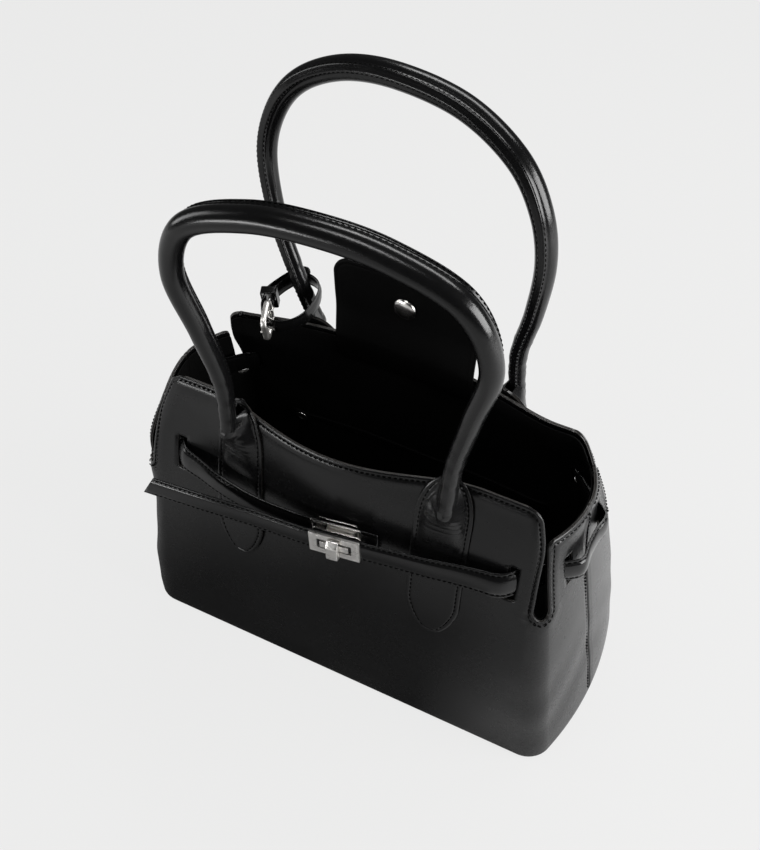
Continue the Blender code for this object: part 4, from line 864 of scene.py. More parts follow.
def buildHandle(side):
    path = smoothPath(handleKnots(side), handlePlan["step"])
    along = unit(np.gradient(path, axis=0))
    inward = np.tile((0.0, -float(sides[side]), handlePlan["ridgeLift"]), (len(path), 1))
    inward = unit(inward - along * np.sum(along * inward, 1, keepdims=True))
    sideways = np.cross(along, inward)
    height = path[:, 2] - handlePlan["baseZ"]
    path[:, 1], radius = footShape(path, side)
    profile = ridgedTube(radius)
    run = np.arange(len(path)) * handlePlan["step"]
    # fine wrinkles round the tube, low down on both legs and not on the ridge
    look = handlePlan["wrinkle"]
    wrinkle = np.sin(run * 900) * np.sin(run * 130 + 1) + 0.8 * np.sin(run * 410 + 2)
    wrinkle = look["depth"] * wrinkle * bell(height, look["middle"], look["spread"])
    tube = np.arange(profile.shape[1]) < handlePlan["around"]
    grow = 1 + (wrinkle / radius)[:, None, None] * tube[None, :, None]
    rings = [sweep(path, profile * grow, inward, sideways)]
    for end, sign in ((0, -1), (-1, 1)):
        # round end: the section shrinks by the cosine while it moves out by the sine
        turn = np.radians(handlePlan["cap"])[::sign, None, None]
        spots = path[end] + sign * along[end] * radius[end] * np.sin(turn[:, 0])
        cap = sweep(spots, profile[end][None] * np.cos(turn), inward[end], sideways[end])
        rings.insert(0 if end == 0 else 2, cap)
    made = closedSweep("handle_%s_leather" % side, np.concatenate(rings), strapLeather, None)
    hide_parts("handle_" + side)
    blendLeg(made, side)
    scale = (radius / handlePlan["radius"])[:, None]
    middle = path + inward * (radius[:, None] + handlePlan["ridgeRise"] * 0.58 * scale)
    keep = height > handlePlan["sewnFrom"]
    half = handlePlan["ridgeWidth"] / 2 * scale
    rows = [((middle + sideways * sign * half)[keep], sideways[keep] * sign) for sign in (-1, 1)]
    blendLeg(addStitches("handle_%s_stitches" % side, rows, None), side)


# height of the sleeve's middle over the panel, and how narrow its hump is, at heights from its hem upwards
sleeve = {"low": 0.1650, "top": 0.2178, "neck": 0.2045, "neckEnd": 0.2170, "hem": 0.0030, "soft": 0.0023,
          "thick": 0.0007, "base": 0.0018, "over": 0.0006, "cover": (0.0005, 0.0009), "coverFrom": 0.1990,
          "follow": 0.1700, "rim": 7,
          "rises": ((0.1650, 0.0019), (0.1700, 0.0027), (0.1750, 0.0040), (0.1800, 0.0053), (0.1850, 0.0067),
                    (0.1890, 0.0080), (0.1935, 0.0099), (0.1985, 0.0121), (0.2030, 0.0138), (0.2070, 0.0147)),
          "powers": ((0.1650, 0.60), (0.1750, 0.70), (0.1850, 0.85), (0.1900, 0.95), (0.1950, 1.15),
                     (0.2000, 1.7), (0.2050, 3.4), (0.2100, 5.0), (0.2178, 6.5)),
          "creases": ((0.1940, 0.00026), (0.1893, 0.00032), (0.1848, 0.00018)),
          "creaseWidth": 0.0009, "creaseLength": 0.0115, "creaseCurve": 11,
          "pleats": {"centreZ": 0.1995, "count": 12, "depth": 0.00020, "near": 0.0105, "spread": 0.0042,
                     "from": 0.192, "to": 0.199}}


def sleeveMarks(across, z, right):
    # creases run across the sleeve, and pleats run out from the tube's foot like the ribs of a fan
    out = 0
    for place, depth in sleeve["creases"]:
        line = z - place + 0.0008 * np.sin(across * 160 * right + 60 * place)
        line = line - sleeve["creaseCurve"] * across ** 2
        fade = np.exp(-(across / sleeve["creaseLength"]) ** 4)
        out = out - depth * bell(line, 0, sleeve["creaseWidth"]) * fade
    pleats = sleeve["pleats"]
    angle = np.arctan2(across, z - pleats["centreZ"])
    far = np.hypot(across, z - pleats["centreZ"])
    ribs = np.sin(pleats["count"] * angle + 1.2 * right) * bell(far, pleats["near"], pleats["spread"])
    return out, pleats["depth"] * ribs * eased(z, pleats["from"], pleats["to"])


def buildSleeve(side, right):
    # leather that hoods the handle's foot: it fans out from the tube to the tab's stitches
    foot = handlePlan["baseZ"]
    path = smoothPath(handleKnots(side), handlePlan["step"])
    leg = path[:14] if right < 0 else path[:-15:-1]
    legY, legRadius = footShape(leg, side)
    rows = np.linspace(sleeve["low"], sleeve["top"], 120)
    tubeX, tubeY, radius = (np.interp(rows, leg[:, 2], values)[:, None]
                            for values in (leg[:, 0], np.abs(legY), legRadius))
    turn = np.linspace(-math.pi / 2, math.pi / 2, 81)[None]
    level = np.maximum(np.cos(turn), 0)
    half = (tabHalf(rows) - sleeve["hem"])[:, None]
    follow = eased(rows, sleeve["follow"], foot)[:, None]
    x = right * tab["x"] + half * np.sin(turn) + (tubeX - right * tab["x"]) * level ** 2 * follow
    z = np.repeat(rows[:, None], turn.shape[1], 1)
    across = x - tubeX
    panel = panelY(x, z, side)
    base = panel + sleeve["base"]
    # the hump: base + (front - base) * cos(turn)^power, fading out over the neck
    rise, power = (np.interp(rows, line[:, 0], line[:, 1])[:, None]
                   for line in (smoothPath(sleeve[key], 0.0005, 2) for key in ("rises", "powers")))
    front = panel + rise
    front = np.where(z < foot, front, np.maximum(front, tubeY + radius + sleeve["over"]))
    fade = 1 - eased(z, sleeve["neck"], sleeve["neckEnd"])
    hump = base + (front - base) * fade * level ** power
    # tight over the tube, joined to the hump by a soft maximum, and sinking into the tube at its top
    reach = radius + sleeve["cover"][0] - sleeve["cover"][1] * eased(z, sleeve["coverFrom"], sleeve["top"])
    beyond = np.maximum(0, np.abs(across) - reach)
    arch = tubeY + np.sqrt(np.maximum(0, reach ** 2 - across ** 2)) - 2 * beyond
    arch = arch - 0.020 * np.clip((foot - z) / 0.004, 0, 1)
    y = sleeve["soft"] * np.logaddexp(hump / sleeve["soft"], arch / sleeve["soft"])
    # the sheet's rim lies on the tab: rise times one minus a high power of the place across
    y = base + (y - base) * (1 - np.abs(np.sin(turn)) ** sleeve["rim"])
    creases, ribs = sleeveMarks(across, z, right)
    y = y + creases + ribs * level ** 0.5
    quads = gridFaces(*x.shape)
    if sides[side] > 0:
        quads = quads[:, ::-1]
    grid = np.stack([x, sides[side] * y, z], -1)
    made = addPiece("sleeve_%s_%s" % (side, handName[right]), grid, quads, smoothLeather, None)
    thicken(made, sleeve["thick"])
    blendLeg(made, side)


for side in sides:
    buildHandle(side)
    for right in handName:
        buildSleeve(side, right)
print("handles rolled")


# flat straps

def strapProfile(width, thick, groove, count=15, pad=0.63):
    # closed outline: inner face, rounded edge, outer face, rounded edge; padded between two sewn grooves
    v = np.sin(np.linspace(-1, 1, count) * math.pi / 2 * 0.96) / math.sin(math.pi / 2 * 0.96)
    v = np.sign(v) * np.abs(v) ** 0.8
    spot = v * width / 2
    away = width / 2 - np.abs(spot)
    middle = 1 - np.clip((away - 0.0026) / (width / 2 - 0.0026), 0, 1)
    faces = []
    for rise in (0.63, pad):
        flat = thick / 2 * (0.42 + rise * np.sqrt(1 - middle ** 2))
        flat = flat * np.minimum(1, 0.30 + 0.70 * np.sqrt(np.clip(away / 0.0007, 0, 1)))
        flat -= groove * bell(away, 0.0021, 0.0005)
        faces.append(np.stack([flat, spot], 1))
    return np.vstack([faces[0], faces[1][::-1] * (-1, 1)])


def sweepStrap(path, profile, middle, lean=None, slant=None, sag=None, narrow=None):
    # section point = path point + thickness across the strap + height, leaning and slanting with height
    along = np.pad(unit(np.gradient(path[:, :2], axis=0)), ((0, 0), (0, 1)))
    across = np.cross(along, straightUp)
    spots = np.stack([path[:, 0], path[:, 1], np.full(len(path), middle)], 1)
    if sag is not None:
        spots[:, 2] += sag
    size = np.ones(len(path)) if narrow is None else narrow
    height = profile[None, :, 1:] * size[:, None, None]
    points = spots[:, None] + across[:, None] * profile[None, :, :1] + straightUp * height
    if lean is not None:
        points = points + across[:, None] * (lean[:, None, None] * height)
    if slant is not None:
        points = points - along[:, None] * (slant[:, None, None] * height)
    return points, across


lock = {"x": 0.0085, "y": -0.0605, "z": 0.1620, "yaw": math.radians(8), "length": 0.0332, "height": 0.0176,
        "thick": 0.0012, "frameThick": 0.0018, "backShift": (-0.0022, 0.0012), "slotLength": 0.0228,
        "slotHeight": 0.0084, "bossLength": 0.0186, "bossHeight": 0.0052, "toggleWidth": 0.0076,
        "toggleLength": 0.0156, "toggleDepth": 0.0042, "shaft": 0.0019, "rear": 0.0, "shortBelt": 0.0028,
        "base": 0.0046, "washer": 0.0082, "longBelt": 0.0110, "frame": 0.0128, "boss": 0.0151,
        "toggle": 0.0155}
lockAlong = np.array((math.cos(lock["yaw"]), math.sin(lock["yaw"]), 0))
lockOut = np.array((math.sin(lock["yaw"]), -math.cos(lock["yaw"]), 0))
lockPlace = np.array((lock["x"], lock["y"], lock["z"]))


def lockPlan(along, depth):
    return (*(lockPlace + lockAlong * along + lockOut * depth)[:2], 0)


def wallLean(x, side):
    step = 0.004
    return float(panelY(x, belt["z"] - step, side) - panelY(x, belt["z"] + step, side)) / (2 * step)


def seamLean(right):
    step = 0.004
    return float(seamX(belt["z"] - step, right) - seamX(belt["z"] + step, right)) / (2 * step)


def weaveKnots(right, side):
    # from outside a panel, through its slot, past the corner and out of the gusset slot
    panelMid = float(panelY(right * belt["slotX"], belt["z"], side)) - belt["wall"] / 2
    gussetMid = float(gussetX(belt["slotY"], belt["z"], right, side)) - belt["wall"] / 2
    knots = [(belt["slotX"] + u, panelMid + v) for u, v in belt["panelWeave"]]
    start, out, width = gussetCurve(belt["z"], right, side)
    slope = math.atan(2 * out * belt["slotY"] / width ** 2)
    knots += [(gussetMid + u * math.cos(slope) - v * math.sin(slope),
               belt["slotY"] + u * math.sin(slope) + v * math.cos(slope)) for u, v in belt["gussetWeave"]]
    steep, shallow = wallLean(right * belt["slotX"], side), seamLean(right)
    leans = [steep] * 3 + [(steep + shallow) / 2] + [shallow] * 3
    return [(right * x, sides[side] * y, lean) for (x, y), lean in zip(knots, leans)]


def frontKnots(spots):
    return [(x, -float(panelY(x, belt["z"], "front")) - stand, lean) for x, stand, lean in spots]


def beltKnots():
    # (x, y, lean): the short end behind the lock, once round the bag, over the lock's post, and the tail
    leftOut, rightOut = (float(seamX(belt["z"], right)) + belt["thick"] / 2 + belt["gussetStand"]
                         for right in (-1, 1))
    knots = [lockPlan(s, lock["shortBelt"]) for s in (0.0245, 0.010, -0.004, -0.021)]
    knots += frontKnots(belt["left"]) + weaveKnots(-1, "front")
    knots += [(-leftOut, y, seamLean(-1)) for y in (-belt["gussetRun"], belt["gussetRun"])]
    knots += weaveKnots(-1, "back")[::-1]
    knots += [(x, float(panelY(x, belt["z"], "back")) + belt["backStand"], wallLean(x, "back"))
              for x in belt["back"]]
    knots += weaveKnots(1, "back")
    knots += [(rightOut, y, seamLean(1)) for y in (belt["gussetRun"], -belt["gussetRun"])]
    knots += weaveKnots(1, "front")[::-1] + frontKnots(belt["right"])
    knots += [lockPlan(s, lock["longBelt"]) for s in (0.025, 0.010, -0.006, -0.021)]
    return knots + frontKnots(belt["tail"])


beltLook = {"step": 0.0016, "groove": 0.00030, "sewn": 0.0019, "pad": 1.05, "seatShare": 0.36,
            "sag": (-0.0016, 0.072, 0.020)}


def buildBelt():
    path = smoothPath(beltKnots(), beltLook["step"], 2)
    x, y, lean = path.T
    run = np.arange(len(path)) * beltLook["step"]
    slant = belt["slant"] * np.clip((run - run[-1] + 0.010) / 0.010, 0, 1) ** 1.5
    depth, place, width = beltLook["sag"]
    sag = depth * bell(x, place, width) * (y < -0.055) + 0.0003 * np.sin(run * 60)
    profile = strapProfile(belt["width"], belt["thick"], beltLook["groove"], 31, beltLook["pad"])
    grid, across = sweepStrap(path, profile, belt["z"], lean, slant, sag)
    made = closedSweep("belt_leather", grid, strapLeather, "bag")
    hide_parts("belt")
    rows = []
    spot = belt["width"] / 2 - beltLook["sewn"]
    half = belt["thick"] / 2 * beltLook["seatShare"]
    for face in (-1, 1):
        for edge in (-1, 1):
            line = sweepStrap(path, np.array([[face * half, edge * spot]]), belt["z"], lean, slant, sag)[0]
            rows.append((line[2:-3, 0], across[2:-3] * face))
    last = slice(-5, -2)
    tip = np.stack([np.full(12, -half), np.linspace(-spot, spot, 12)], 1)
    tail = sweepStrap(path[last], tip, belt["z"], lean[last], slant[last], sag[last])[0]
    rows.append((tail[-1], np.tile(-across[-3], (12, 1))))
    addStitches("belt_stitches", rows, "bag")


buildBelt()
print("belt woven")


# turn lock, in plates of brushed metal

def roundBox(halfWide, halfHigh, radius, steps=6):
    # four quarter rounds, anticlockwise
    turn = np.radians(np.linspace(0, 90, steps + 1))
    out = []
    for k, (right, top) in enumerate(((1, 1), (-1, 1), (-1, -1), (1, -1))):
        angle = turn + k * math.pi / 2
        out.append(np.stack([right * (halfWide - radius) + radius * np.cos(angle),
                             top * (halfHigh - radius) + radius * np.sin(angle)], 1))
    return np.vstack(out)


def edgeBevel(piece, width, segments=3):
    step = piece.modifiers.new("edges", "BEVEL")
    step.width, step.segments, step.limit_method = width, segments, "ANGLE"
    step.angle_limit, step.harden_normals = math.radians(32), True


# insets and depths of the groove pressed in along a plate's border
plateGroove = ((0, 0), (0.00012, 0.00016), (0.00034, 0.00016), (0.00046, 0))


def buildPlate(name, node, half, radius, start, thick, window=None, shift=(0, 0), border=0.0,
               finish=brushedSteel):
    # rings of a rounded box, each at its own depth: the back, the face, its groove and its window
    wide, high = half
    face = start + thick
    rings = [(wide, high, radius, start), (wide, high, radius, face)]
    if border:
        for more, sink in plateGroove:
            inset = border + more
            rings.append((wide - inset, high - inset, max(0.0002, radius - inset * 0.5), face - sink))
    if window:
        rings += [(*window, 0.0009, face), (*window, 0.0009, start)]
    ways = np.array((lockAlong, straightUp))
    grid = [lockPlace + (roundBox(*ring) + shift) @ ways + depth * lockOut for *ring, depth in rings]
    made = closedSweep(name, np.array(grid), finish, "bag", ring=bool(window))
    edgeBevel(made, 0.00022)
    if node:
        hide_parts(node)


def buildLock():
    wide, high, thick, shift = (lock[key] for key in ("length", "height", "thick", "backShift"))
    gap = (lock["slotLength"] / 2, lock["slotHeight"] / 2)
    post = lock["base"] + thick * 0.6
    buildPlate("lock_back_bar", "lock_rear_plate", (wide * 0.38, high * 0.38), 0.0010, lock["rear"], 0.0010,
               shift=shift, finish=mirrorSteel)
    buildPlate("lock_base_plate", "lock_base", (wide / 2, high / 2), 0.0008, lock["base"], thick,
               shift=shift, border=0.0012, finish=mirrorSteel)
    buildPlate("lock_boss", None, (lock["bossLength"] / 2, lock["bossHeight"] / 2), 0.0008, post,
               lock["boss"] - post)
    buildPlate("lock_washer_plate", "lock_washer", (wide * 0.47, high * 0.42), 0.0010, lock["washer"],
               0.0010, gap, finish=mirrorSteel)
    buildPlate("lock_front_plate", "lock_frame", (wide / 2, high / 2), 0.0008, lock["frame"],
               lock["frameThick"], gap, border=0.0011)


def buildToggle():
    # thumb piece: the same faceted side outline at every step of its width
    length, depth, wide = lock["toggleLength"], lock["toggleDepth"], lock["toggleWidth"] / 2
    outline = np.array([(0, length / 2), (depth * 0.35, length / 2), (depth, length * 0.24),
                        (depth, -length * 0.42), (depth * 0.7, -length / 2), (0, -length / 2)])
    share = np.linspace(-1, 1, 9)[:, None, None]
    outward = lock["toggle"] + outline[:, :1] * (1 - 0.05 * share ** 4)
    grid = lockPlace + lockOut * outward + straightUp * outline[:, 1:] + lockAlong * share * wide
    made = closedSweep("toggle_thumb", grid, brushedSteel, "toggle")
    edgeBevel(made, 0.00045, 4)
    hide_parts("lock_toggle")
    ends = lockPlace + np.outer((lock["washer"] + 0.002, lock["toggle"] + 0.0010), lockOut)
    pin = sweep(ends, lock["shaft"] * circleSpots(40)[None], lockAlong, straightUp)
    closedSweep("toggle_pin", pin, polishedSteel, "toggle")


buildLock()
buildToggle()
print("lock fitted")


# closing flap and round snaps

flap = {"x": -0.0022, "y": 0.0487, "half": 0.0498, "topZ": 0.2800, "thick": 0.0026, "round": 0.0135,
        "tongue": 0.020, "inside": 0.0046, "rows": 70, "columns": 81}


def flapSheet(face):
    # rows climb from the tongue sewn inside the back panel, past the rim, to the rounded top
    low = bag["rimZ"] - bag["rimDip"] - flap["tongue"]
    z = low + (flap["topZ"] - low) * np.sin(np.linspace(0, math.pi / 2, flap["rows"]))
    drop = np.clip(flap["round"] - (flap["topZ"] - z), 0, flap["round"])
    half = (flap["half"] - (flap["round"] - np.sqrt(flap["round"] ** 2 - drop ** 2)))[:, None]
    x = flap["x"] + np.sin(np.linspace(-math.pi / 2, math.pi / 2, flap["columns"]))[None] * half
    z = np.repeat(z[:, None], flap["columns"], 1)
    inner = panelY(x, np.minimum(z, bag["rimZ"]), "back") - flap["inside"]
    y = inner + (flap["y"] - inner) * eased(z, bag["rimZ"] - 0.002, bag["rimZ"] + 0.028)
    y = y + 0.0012 * np.sin((x - flap["x"]) * 55 + 0.7) * np.clip((z - 0.222) / 0.03, 0, 1)
    # distance from the edge, measured from the corner's centre where the corner is round
    aside, below, flat = np.abs(x - flap["x"]), flap["topZ"] - z, flap["half"] - flap["round"]
    near = np.hypot(np.maximum(0, aside - flat), np.maximum(0, flap["round"] - below))
    corner = (below < flap["round"]) & (aside > flat)
    away = np.where(corner, flap["round"] - near, np.minimum(half - aside, below))
    thick = flap["thick"] / 2 * (0.45 + 0.55 * np.sqrt(np.clip(away / 0.0012, 0, 1)))
    return np.stack([x, y + face * (thick - 0.00026 * bell(away, 0.0030, 0.0006)), z], -1)


def buildFlap():
    grid = np.concatenate([flapSheet(-1), flapSheet(1)[:, ::-1]], 1)
    made = closedSweep("flap_leather", grid, flapLeather, None)
    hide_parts("closure_flap")
    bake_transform(made)


def turnedPiece(name, profile, place, outward, finish, body):
    # profile of (radius, distance out), turned about the outward direction
    outward = unit(np.array(outward, float))
    across = unit(np.cross(straightUp, outward))
    profile, circle = np.array(profile, float), circleSpots(64)
    circle = circle[:, :1] * across + circle[:, 1:] * np.cross(outward, across)
    grid = np.array(place) + profile[:, None, 1:] * outward + profile[:, None, :1] * circle
    return closedSweep(name, grid, finish, body)


def roundedProfile(corners, radius=0.0003, steps=4):
    # soft corners for a turned outline
    corners = np.array(corners, float)
    out = [corners[0]]
    for before, here, after in zip(corners, corners[1:], corners[2:]):
        a = here + unit(before - here) * min(radius, np.linalg.norm(before - here) * 0.45)
        b = here + unit(after - here) * min(radius, np.linalg.norm(after - here) * 0.45)
        t = np.linspace(0, 1, steps)[:, None]
        out.extend((1 - t) ** 2 * a + 2 * t * (1 - t) * here + t ** 2 * b)
    out.append(corners[-1])
    return np.array(out)


snap = {"radius": 0.0077, "z": 0.254, "x": -0.002, "magnetZ": 0.186, "magnet": 0.0095, "magnetStand": 0.0053}


def buildSnaps():
    r = snap["radius"]
    turn = np.radians(np.linspace(0, 86, 14))
    dome = [(r * 0.93, 0), (r * 0.99, 0.0002), (r, 0.0006), (r * 0.985, 0.0010)]
    dome += [(r * 0.96 * math.cos(t), 0.0010 + 0.0019 * math.sin(t)) for t in turn]
    front, back = flap["y"] - flap["thick"] / 2 + 0.0003, flap["y"] + 0.0010
    x, z = snap["x"], snap["z"]
    made = turnedPiece("flap_snap_dome", dome, (x, front, z), (0, -1, 0), polishedSteel, "flap")
    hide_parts("flap_snap")
    rivet = roundedProfile([(r * 0.8, 0), (r * 0.8, 0.0009), (r * 0.5, 0.0012), (0.0002, 0.0012)])
    turnedPiece("flap_snap_back", rivet, (x, back, z), (0, 1, 0), polishedSteel, "flap")
    z, m = snap["magnetZ"], snap["magnet"]
    slope = float(panelY(x, z + 0.004, "front") - panelY(x, z - 0.004, "front")) / 0.008
    out = unit(np.array((0, 1, slope)))
    place = (x, -float(panelY(x, z, "front")), z) + out * snap["magnetStand"]
    cover = [(m, 0), (m, 0.0010), (m * 0.93, 0.0019), (m * 0.72, 0.0023), (0.0002, 0.0026)]
    cover = roundedProfile(cover, 0.0008)
    made = turnedPiece("magnet_cover", cover, place, out, smoothLeather, "bag")
    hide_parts("front_magnet")


buildFlap()
buildSnaps()
print("flap hung")


# inside: slip pocket with its stud, and the cloth floor

pocket = {"half": 0.100, "lowZ": 0.030, "topZ": 0.1125, "start": 0.0050, "thick": 0.0012, "studX": -0.0932,
          "studZ": 0.1080, "stud": 0.0043, "sewn": 0.0042, "puff": 0.0010, "hem": 0.0004}
clothFloor = {"z": 0.006, "inset": 0.978, "wave": 0.0006, "thick": 0.0006, "rings": 26, "points": 60}


def insidePoint(x, z, depth):
    # a point of the back panel moved into the bag, and the way in
    slope = (panelY(x, z - 0.003, "back") - panelY(x, z + 0.003, "back")) / 0.006
    out = unit(np.stack([0 * x, np.ones_like(x), slope], -1))
    return np.stack([x, panelY(x, z, "back"), z], -1) - out * depth[..., None], -out


def buildPocket():
    skin = pocket["start"] + pocket["thick"]
    xs = np.linspace(-pocket["half"], pocket["half"], 61)
    zs = np.r_[np.linspace(pocket["lowZ"], pocket["topZ"] - 0.004, 30),
               pocket["topZ"] - np.array((0.003, 0.0022, 0.001, 0.0003, 0))]
    x, z = np.meshgrid(xs, zs)
    away = np.minimum(pocket["half"] - np.abs(x), z - pocket["lowZ"])
    puffed = pocket["puff"] * np.clip(away / 0.012, 0, 1) * (1 + 0.5 * np.sin(60 * x + 1))
    hem = pocket["hem"] * bell(pocket["topZ"] - z, 0.0015, 0.0014)
    grid, _ = insidePoint(x, z, skin + puffed + hem)
    made = addPiece("pocket_leather", grid, gridFaces(*x.shape), liningCloth, "bag")
    thicken(made, pocket["thick"])
    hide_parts("inner_pocket")
    sewn = insidePoint(xs, np.full_like(xs, pocket["topZ"] - pocket["sewn"]), np.full_like(xs, skin + 0.0011))
    addStitches("pocket_stitches", [sewn], "bag")
    spot = (pocket["studX"], pocket["studZ"], skin + 0.0012)
    place, out = insidePoint(*(np.array([value]) for value in spot))
    r = pocket["stud"]
    ring = roundedProfile([(r, 0), (r, 0.0009), (r * 0.86, 0.0014), (r * 0.62, 0.0014), (r * 0.50, 0.0007),
                           (r * 0.20, 0.0006), (0.0001, 0.0009)])
    made = turnedPiece("pocket_stud_ring", ring, place[0], out[0], polishedSteel, "bag")
    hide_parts("pocket_stud")


def buildFloorCloth():
    # outline of the wall's foot, drawn in ring by ring to a small middle
    floorZ, outline = clothFloor["z"], []
    for side, right in (("front", -1), ("front", 1), ("back", 1), ("back", -1)):
        run = np.linspace(0, float(seamRun(floorZ, right, side)), clothFloor["points"])[:-1]
        line = skinPoint(run, np.full_like(run, floorZ), right, side)
        outline.append(line[::-1] if (right < 0) == (side == "front") else line)
    share = np.r_[0.0, np.linspace(0.004, 1, clothFloor["rings"])[:-1], 0.999][:, None, None]
    grid = np.vstack(outline)[None] * (1, 1, 0) * (1 - share) * clothFloor["inset"]
    wave = clothFloor["wave"] * np.sin(34 * grid[..., 0] + 2) * np.sin(50 * grid[..., 1])
    grid[..., 2] = floorZ + wave * np.clip(share[..., 0] * 6, 0, 1)
    rows, cols = grid.shape[:2]
    faces = [*gridFaces(rows, cols, wrap=True), range((rows - 1) * cols, rows * cols)]
    made = addPiece("cloth_floor", grid, faces, liningCloth, "bag", merge=0.000001)
    if np.mean([p.normal.z for p in made.data.polygons]) < 0:
        made.data.flip_normals()
    thicken(made, clothFloor["thick"])


buildPocket()
buildFloorCloth()
print("inside lined")


# buckled strap round the back left handle leg

charm = {"z": 0.2285, "width": 0.0115, "thick": 0.0020, "leg": (-0.0856, 0.0597), "centre": (-0.0935, 0.0275),
         "length": 0.0200, "height": 0.0175, "wire": 0.0012, "prong": 0.0008, "heelCross": 0.0047,
         "tilt": math.radians(8), "tip": 0.0058, "step": 0.0009, "groove": 0.00014, "ringCorner": 0.0042,
         "loop": ((-0.0116, 0.0014), (-0.0062, 0.0086), (0.0026, 0.0097), (0.0108, 0.0052), (0.0148, -0.0066),
                  (0.0144, -0.0190), (0.0098, -0.0286), (0.0018, -0.0340)),
         "tail": ((-0.0144, 0.0032), (-0.0090, 0.0116), (-0.0032, 0.0168)),
         "keeperPlace": (0.0100, 0.0014), "keeperCorner": 0.0012,
         "keeper": ((0.0045, 0.0065, -0.0030), (0.0054, 0.0075, -0.0030), (0.0054, 0.0075, 0.0030),
                    (0.0045, 0.0065, 0.0030))}
charmAlong = unit(np.array((-0.37, 0.93, 0)))
charmOut = np.cross(straightUp, charmAlong)
charmCentre = np.array((*charm["centre"], charm["z"]))


def hang(points):
    # the strap hangs down towards its buckle, turned about the middle of the handle leg
    leg = np.array((*charm["leg"], charm["z"]))
    turn = np.array(Matrix.Rotation(charm["tilt"], 3, "X"))
    return (np.asarray(points) - leg) @ turn.T + leg


def buckleSpot(along, depth):
    return charmCentre + charmAlong * along + charmOut * depth


def charmKnots():
    # from the ring's heel round the handle leg, back through the ring, under the keeper and on to the tail
    half, cross = charm["length"] / 2, charm["heelCross"]
    first = ((half + 0.0036, -0.0008), (half + 0.0085, -0.0012), (half + 0.0140, -0.0018))
    last = ((-0.0030, -0.0020), (0.0010, 0.0020), (half - 0.0010, cross), (half + 0.0070, cross - 0.0006),
            (half + 0.0140, cross - 0.0016))
    first, last = ([tuple(buckleSpot(*spot)[:2]) for spot in spots] for spots in (first, last))
    x, y = charm["leg"]
    loop, tail = ([(x + u, y + v) for u, v in charm[key]] for key in ("loop", "tail"))
    return first + loop + last + tail


def charmPiece(name, grid, finish, node=None, ring=False):
    made = closedSweep(name, hang(grid), finish, "buckled_strap", ring)
    if node:
        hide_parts(node)
    return made


def buildCharm():
    path = smoothPath(charmKnots(), charm["step"], 2)
    left = (len(path) - 1 - np.arange(len(path))) * charm["step"] / charm["tip"]
    narrow = np.where(left < 1, 0.22 + 0.78 * np.sqrt(np.clip(1 - (1 - left) ** 2, 0, 1)), 1.0)
    profile = strapProfile(charm["width"], charm["thick"], charm["groove"])
    grid, _ = sweepStrap(path, profile, charm["z"], narrow=narrow)
    charmPiece("charm_leather", grid, strapLeather, "charm_strap")


def buildBuckle():
    # flat ring with round corners, its section squashed from a circle
    half, wire, prong = charm["length"] / 2, charm["wire"], charm["prong"]
    loop = roundBox(half, charm["height"] / 2, charm["ringCorner"], 12)
    ways = unit(np.roll(loop, -1, 0) - np.roll(loop, 1, 0))
    sideways = charmAlong * ways[:, 1:] - straightUp * ways[:, :1]
    spots = charmCentre + charmAlong * loop[:, :1] + straightUp * loop[:, 1:]
    circle = circleSpots(20)
    squashed = np.sign(circle) * np.abs(circle) ** 0.8 * (1.15, 1.65) * wire
    ring = sweep(spots, squashed[None], sideways, charmOut)
    charmPiece("buckle_ring", ring, satinSteel, "buckle_frame", ring=True)
    start = buckleSpot(half - wire - prong - 0.0004, 0.0004)
    end = buckleSpot(-half - 0.0012, wire + prong + 0.0003)
    t = np.linspace(0, 1, 30)[:, None]
    size = prong * np.where(t > 0.9, 1 - 0.5 * ((t - 0.9) / 0.1) ** 2, 1)
    pin = sweep(start * (1 - t) + end * t, circle[None] * size[..., None], straightUp,
                np.cross(unit(end - start), straightUp))
    charmPiece("buckle_pin", pin, satinSteel, "buckle_prong")
    around = circleSpots(48)
    around = around[:, :1] * charmAlong + around[:, 1:] * charmOut
    spots = buckleSpot(half, 0) + (wire * 1.35 + prong * 0.8) * around
    eye = sweep(spots, (circle * (prong * 0.75, prong * 1.1))[None], around, straightUp)
    charmPiece("buckle_pin_eye", eye, polishedSteel, ring=True)


def buildKeeper():
    along, depth = charm["keeperPlace"]
    place, ways = buckleSpot(charm["length"] / 2 + along, depth), np.array((charmOut, straightUp))
    rings = [place + roundBox(*half, charm["keeperCorner"]) @ ways + charmAlong * reach
             for *half, reach in charm["keeper"]]
    made = charmPiece("keeper_leather", np.array(rings), strapLeather, "charm_keeper", True)
    edgeBevel(made, 0.0003)


buildCharm()
buildBuckle()
buildKeeper()
print("strap buckled")


# what is left of the CAD model

for name, finish in (("base_panel", smoothLeather), ("base_board", liningCloth)):
    item = bpy.data.objects[name]
    for spot in item.material_slots:
        spot.material = finish


# stage

# the last entry gives painted floor tones for rays other than the camera's: painted shade close to the bag,
# painted light farther off
backdrop = {"seen": 0.835, "light": 0.06, "glow": 0.790, "rightPull": 3.0, "size": 3.0,
            "tones": ((0.3, 0.040), (0.7, 0.043)), "floorShadeAndLight": ((0.17, 0.14), (0.33, 0.55), (0.70, 0.62))}


def greys(stops):
    return [(place, (tone, tone, tone, 1)) for place, tone in stops]


def splitSurface(tree, outputKind, unseen, seen):
    # one surface for the camera and another one for every other ray
    camera = Signal(tree).node("LightPath", out="Is Camera Ray")
    mixed = camera.node("MixShader", {}, {0: camera, 1: unseen, 2: seen})
    out = tree.nodes.new("ShaderNodeOutput" + outputKind)
    tree.links.new(mixed.socket, out.inputs["Surface"])


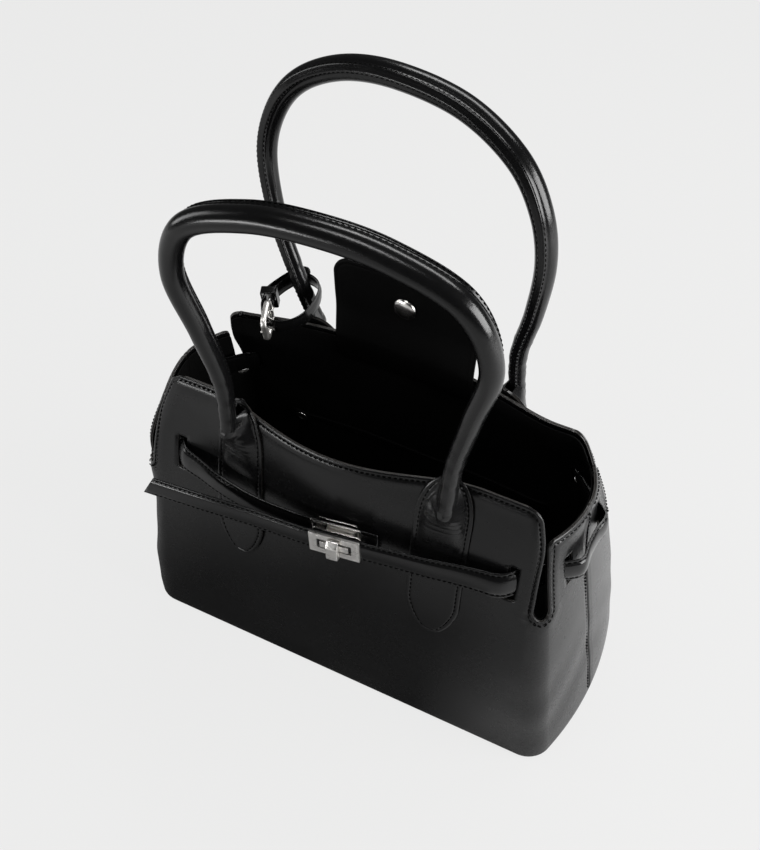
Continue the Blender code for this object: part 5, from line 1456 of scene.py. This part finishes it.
def buildStage():
    # the camera sees a pale floor that keeps its shadow; other rays see the floor with painted shade and
    # painted light
    made = bpy.data.materials.new("paleFloor")
    made.use_nodes = True
    made.node_tree.nodes.clear()
    start = Signal(made.node_tree)
    here = start.node("TexCoord", out="Object")
    cloud = start.node("TexNoise", {}, {"Vector": here, "Scale": 1.2, "Detail": 2.0})
    tone = start.node("ValToRGB", {"stops": greys(backdrop["tones"])}, {"Fac": cloud})
    glow = start.node("Emission", {}, {"Color": (1, 1, 0.997, 1), "Strength": backdrop["glow"]})
    lit = start.node("BsdfDiffuse", {}, {"Color": tone})
    pale = start.node("AddShader", {}, {0: glow, 1: lit})
    # other rays see painted floor tones: painted shade close to the bag, and painted light paler farther off
    # and along its right side
    spread = start.node("VectorMath", {"operation": "LENGTH"}, {0: here}, 1)
    beside = start.node("SeparateXYZ", {}, {0: here})
    reach = spread.maths("MAXIMUM", spread, beside * backdrop["rightPull"])
    paintedFloorTone = start.node("ValToRGB", {"stops": greys(backdrop["floorShadeAndLight"])}, {"Fac": reach})
    splitSurface(made.node_tree, "Material", start.node("BsdfDiffuse", {}, {"Color": paintedFloorTone}), pale)
    size = backdrop["size"]
    data = bpy.data.meshes.new("floor")
    corners = [(-size, -size, 0), (size, -size, 0), (size, size, 0), (-size, size, 0)]
    data.from_pydata(corners, [], [(0, 1, 2, 3)])
    data.materials.append(made)
    floor = bpy.data.objects.new("floor", data)
    bpy.context.scene.collection.objects.link(floor)


def buildWorld():
    world = bpy.data.worlds.new("studio")
    bpy.context.scene.world = world
    world.use_nodes = True
    world.node_tree.nodes.clear()
    start = Signal(world.node_tree)
    dim = start.node("Background", {}, {"Color": (1, 1, 1, 1), "Strength": backdrop["light"]})
    white = start.node("Background", {}, {"Color": (1, 1, 0.997, 1), "Strength": backdrop["seen"]})
    splitSurface(world.node_tree, "World", dim, white)


buildStage()
buildWorld()

# place, aim, width and height, power
lamps = {"topStrip": ((0.10, 0.75, 1.25), (0, 0.05, 0.25), (1.3, 0.30), 12.0),
         "rightWall": ((1.15, 0.10, 0.50), (0.25, 0, 0.05), (0.9, 0.7), 26.0),
         "frontTop": ((-0.10, -0.35, 1.45), (0, 0, 0.2), (0.7, 0.20), 5.0),
         "frontLow": ((-0.95, -1.55, 0.34), (-0.02, 0, 0.12), (0.8, 0.30), 12.0),
         "leftFill": ((-1.2, -0.25, 0.60), (-0.1, 0, 0.12), (0.35, 0.8), 4.0)}


def addLamp(name, place, aim, size, power):
    data = bpy.data.lights.new(name, "AREA")
    data.shape, data.size, data.size_y, data.energy = "RECTANGLE", *size, power
    made = bpy.data.objects.new(name, data)
    bpy.context.scene.collection.objects.link(made)
    turn = (Vector(aim) - Vector(place)).to_track_quat("-Z", "Y").to_matrix().to_4x4()
    made.matrix_world = Matrix.Translation(place) @ turn


for name, plan in lamps.items():
    addLamp(name, *plan)
bpy.context.scene.view_settings.view_transform = "Standard"
print("studio lit")
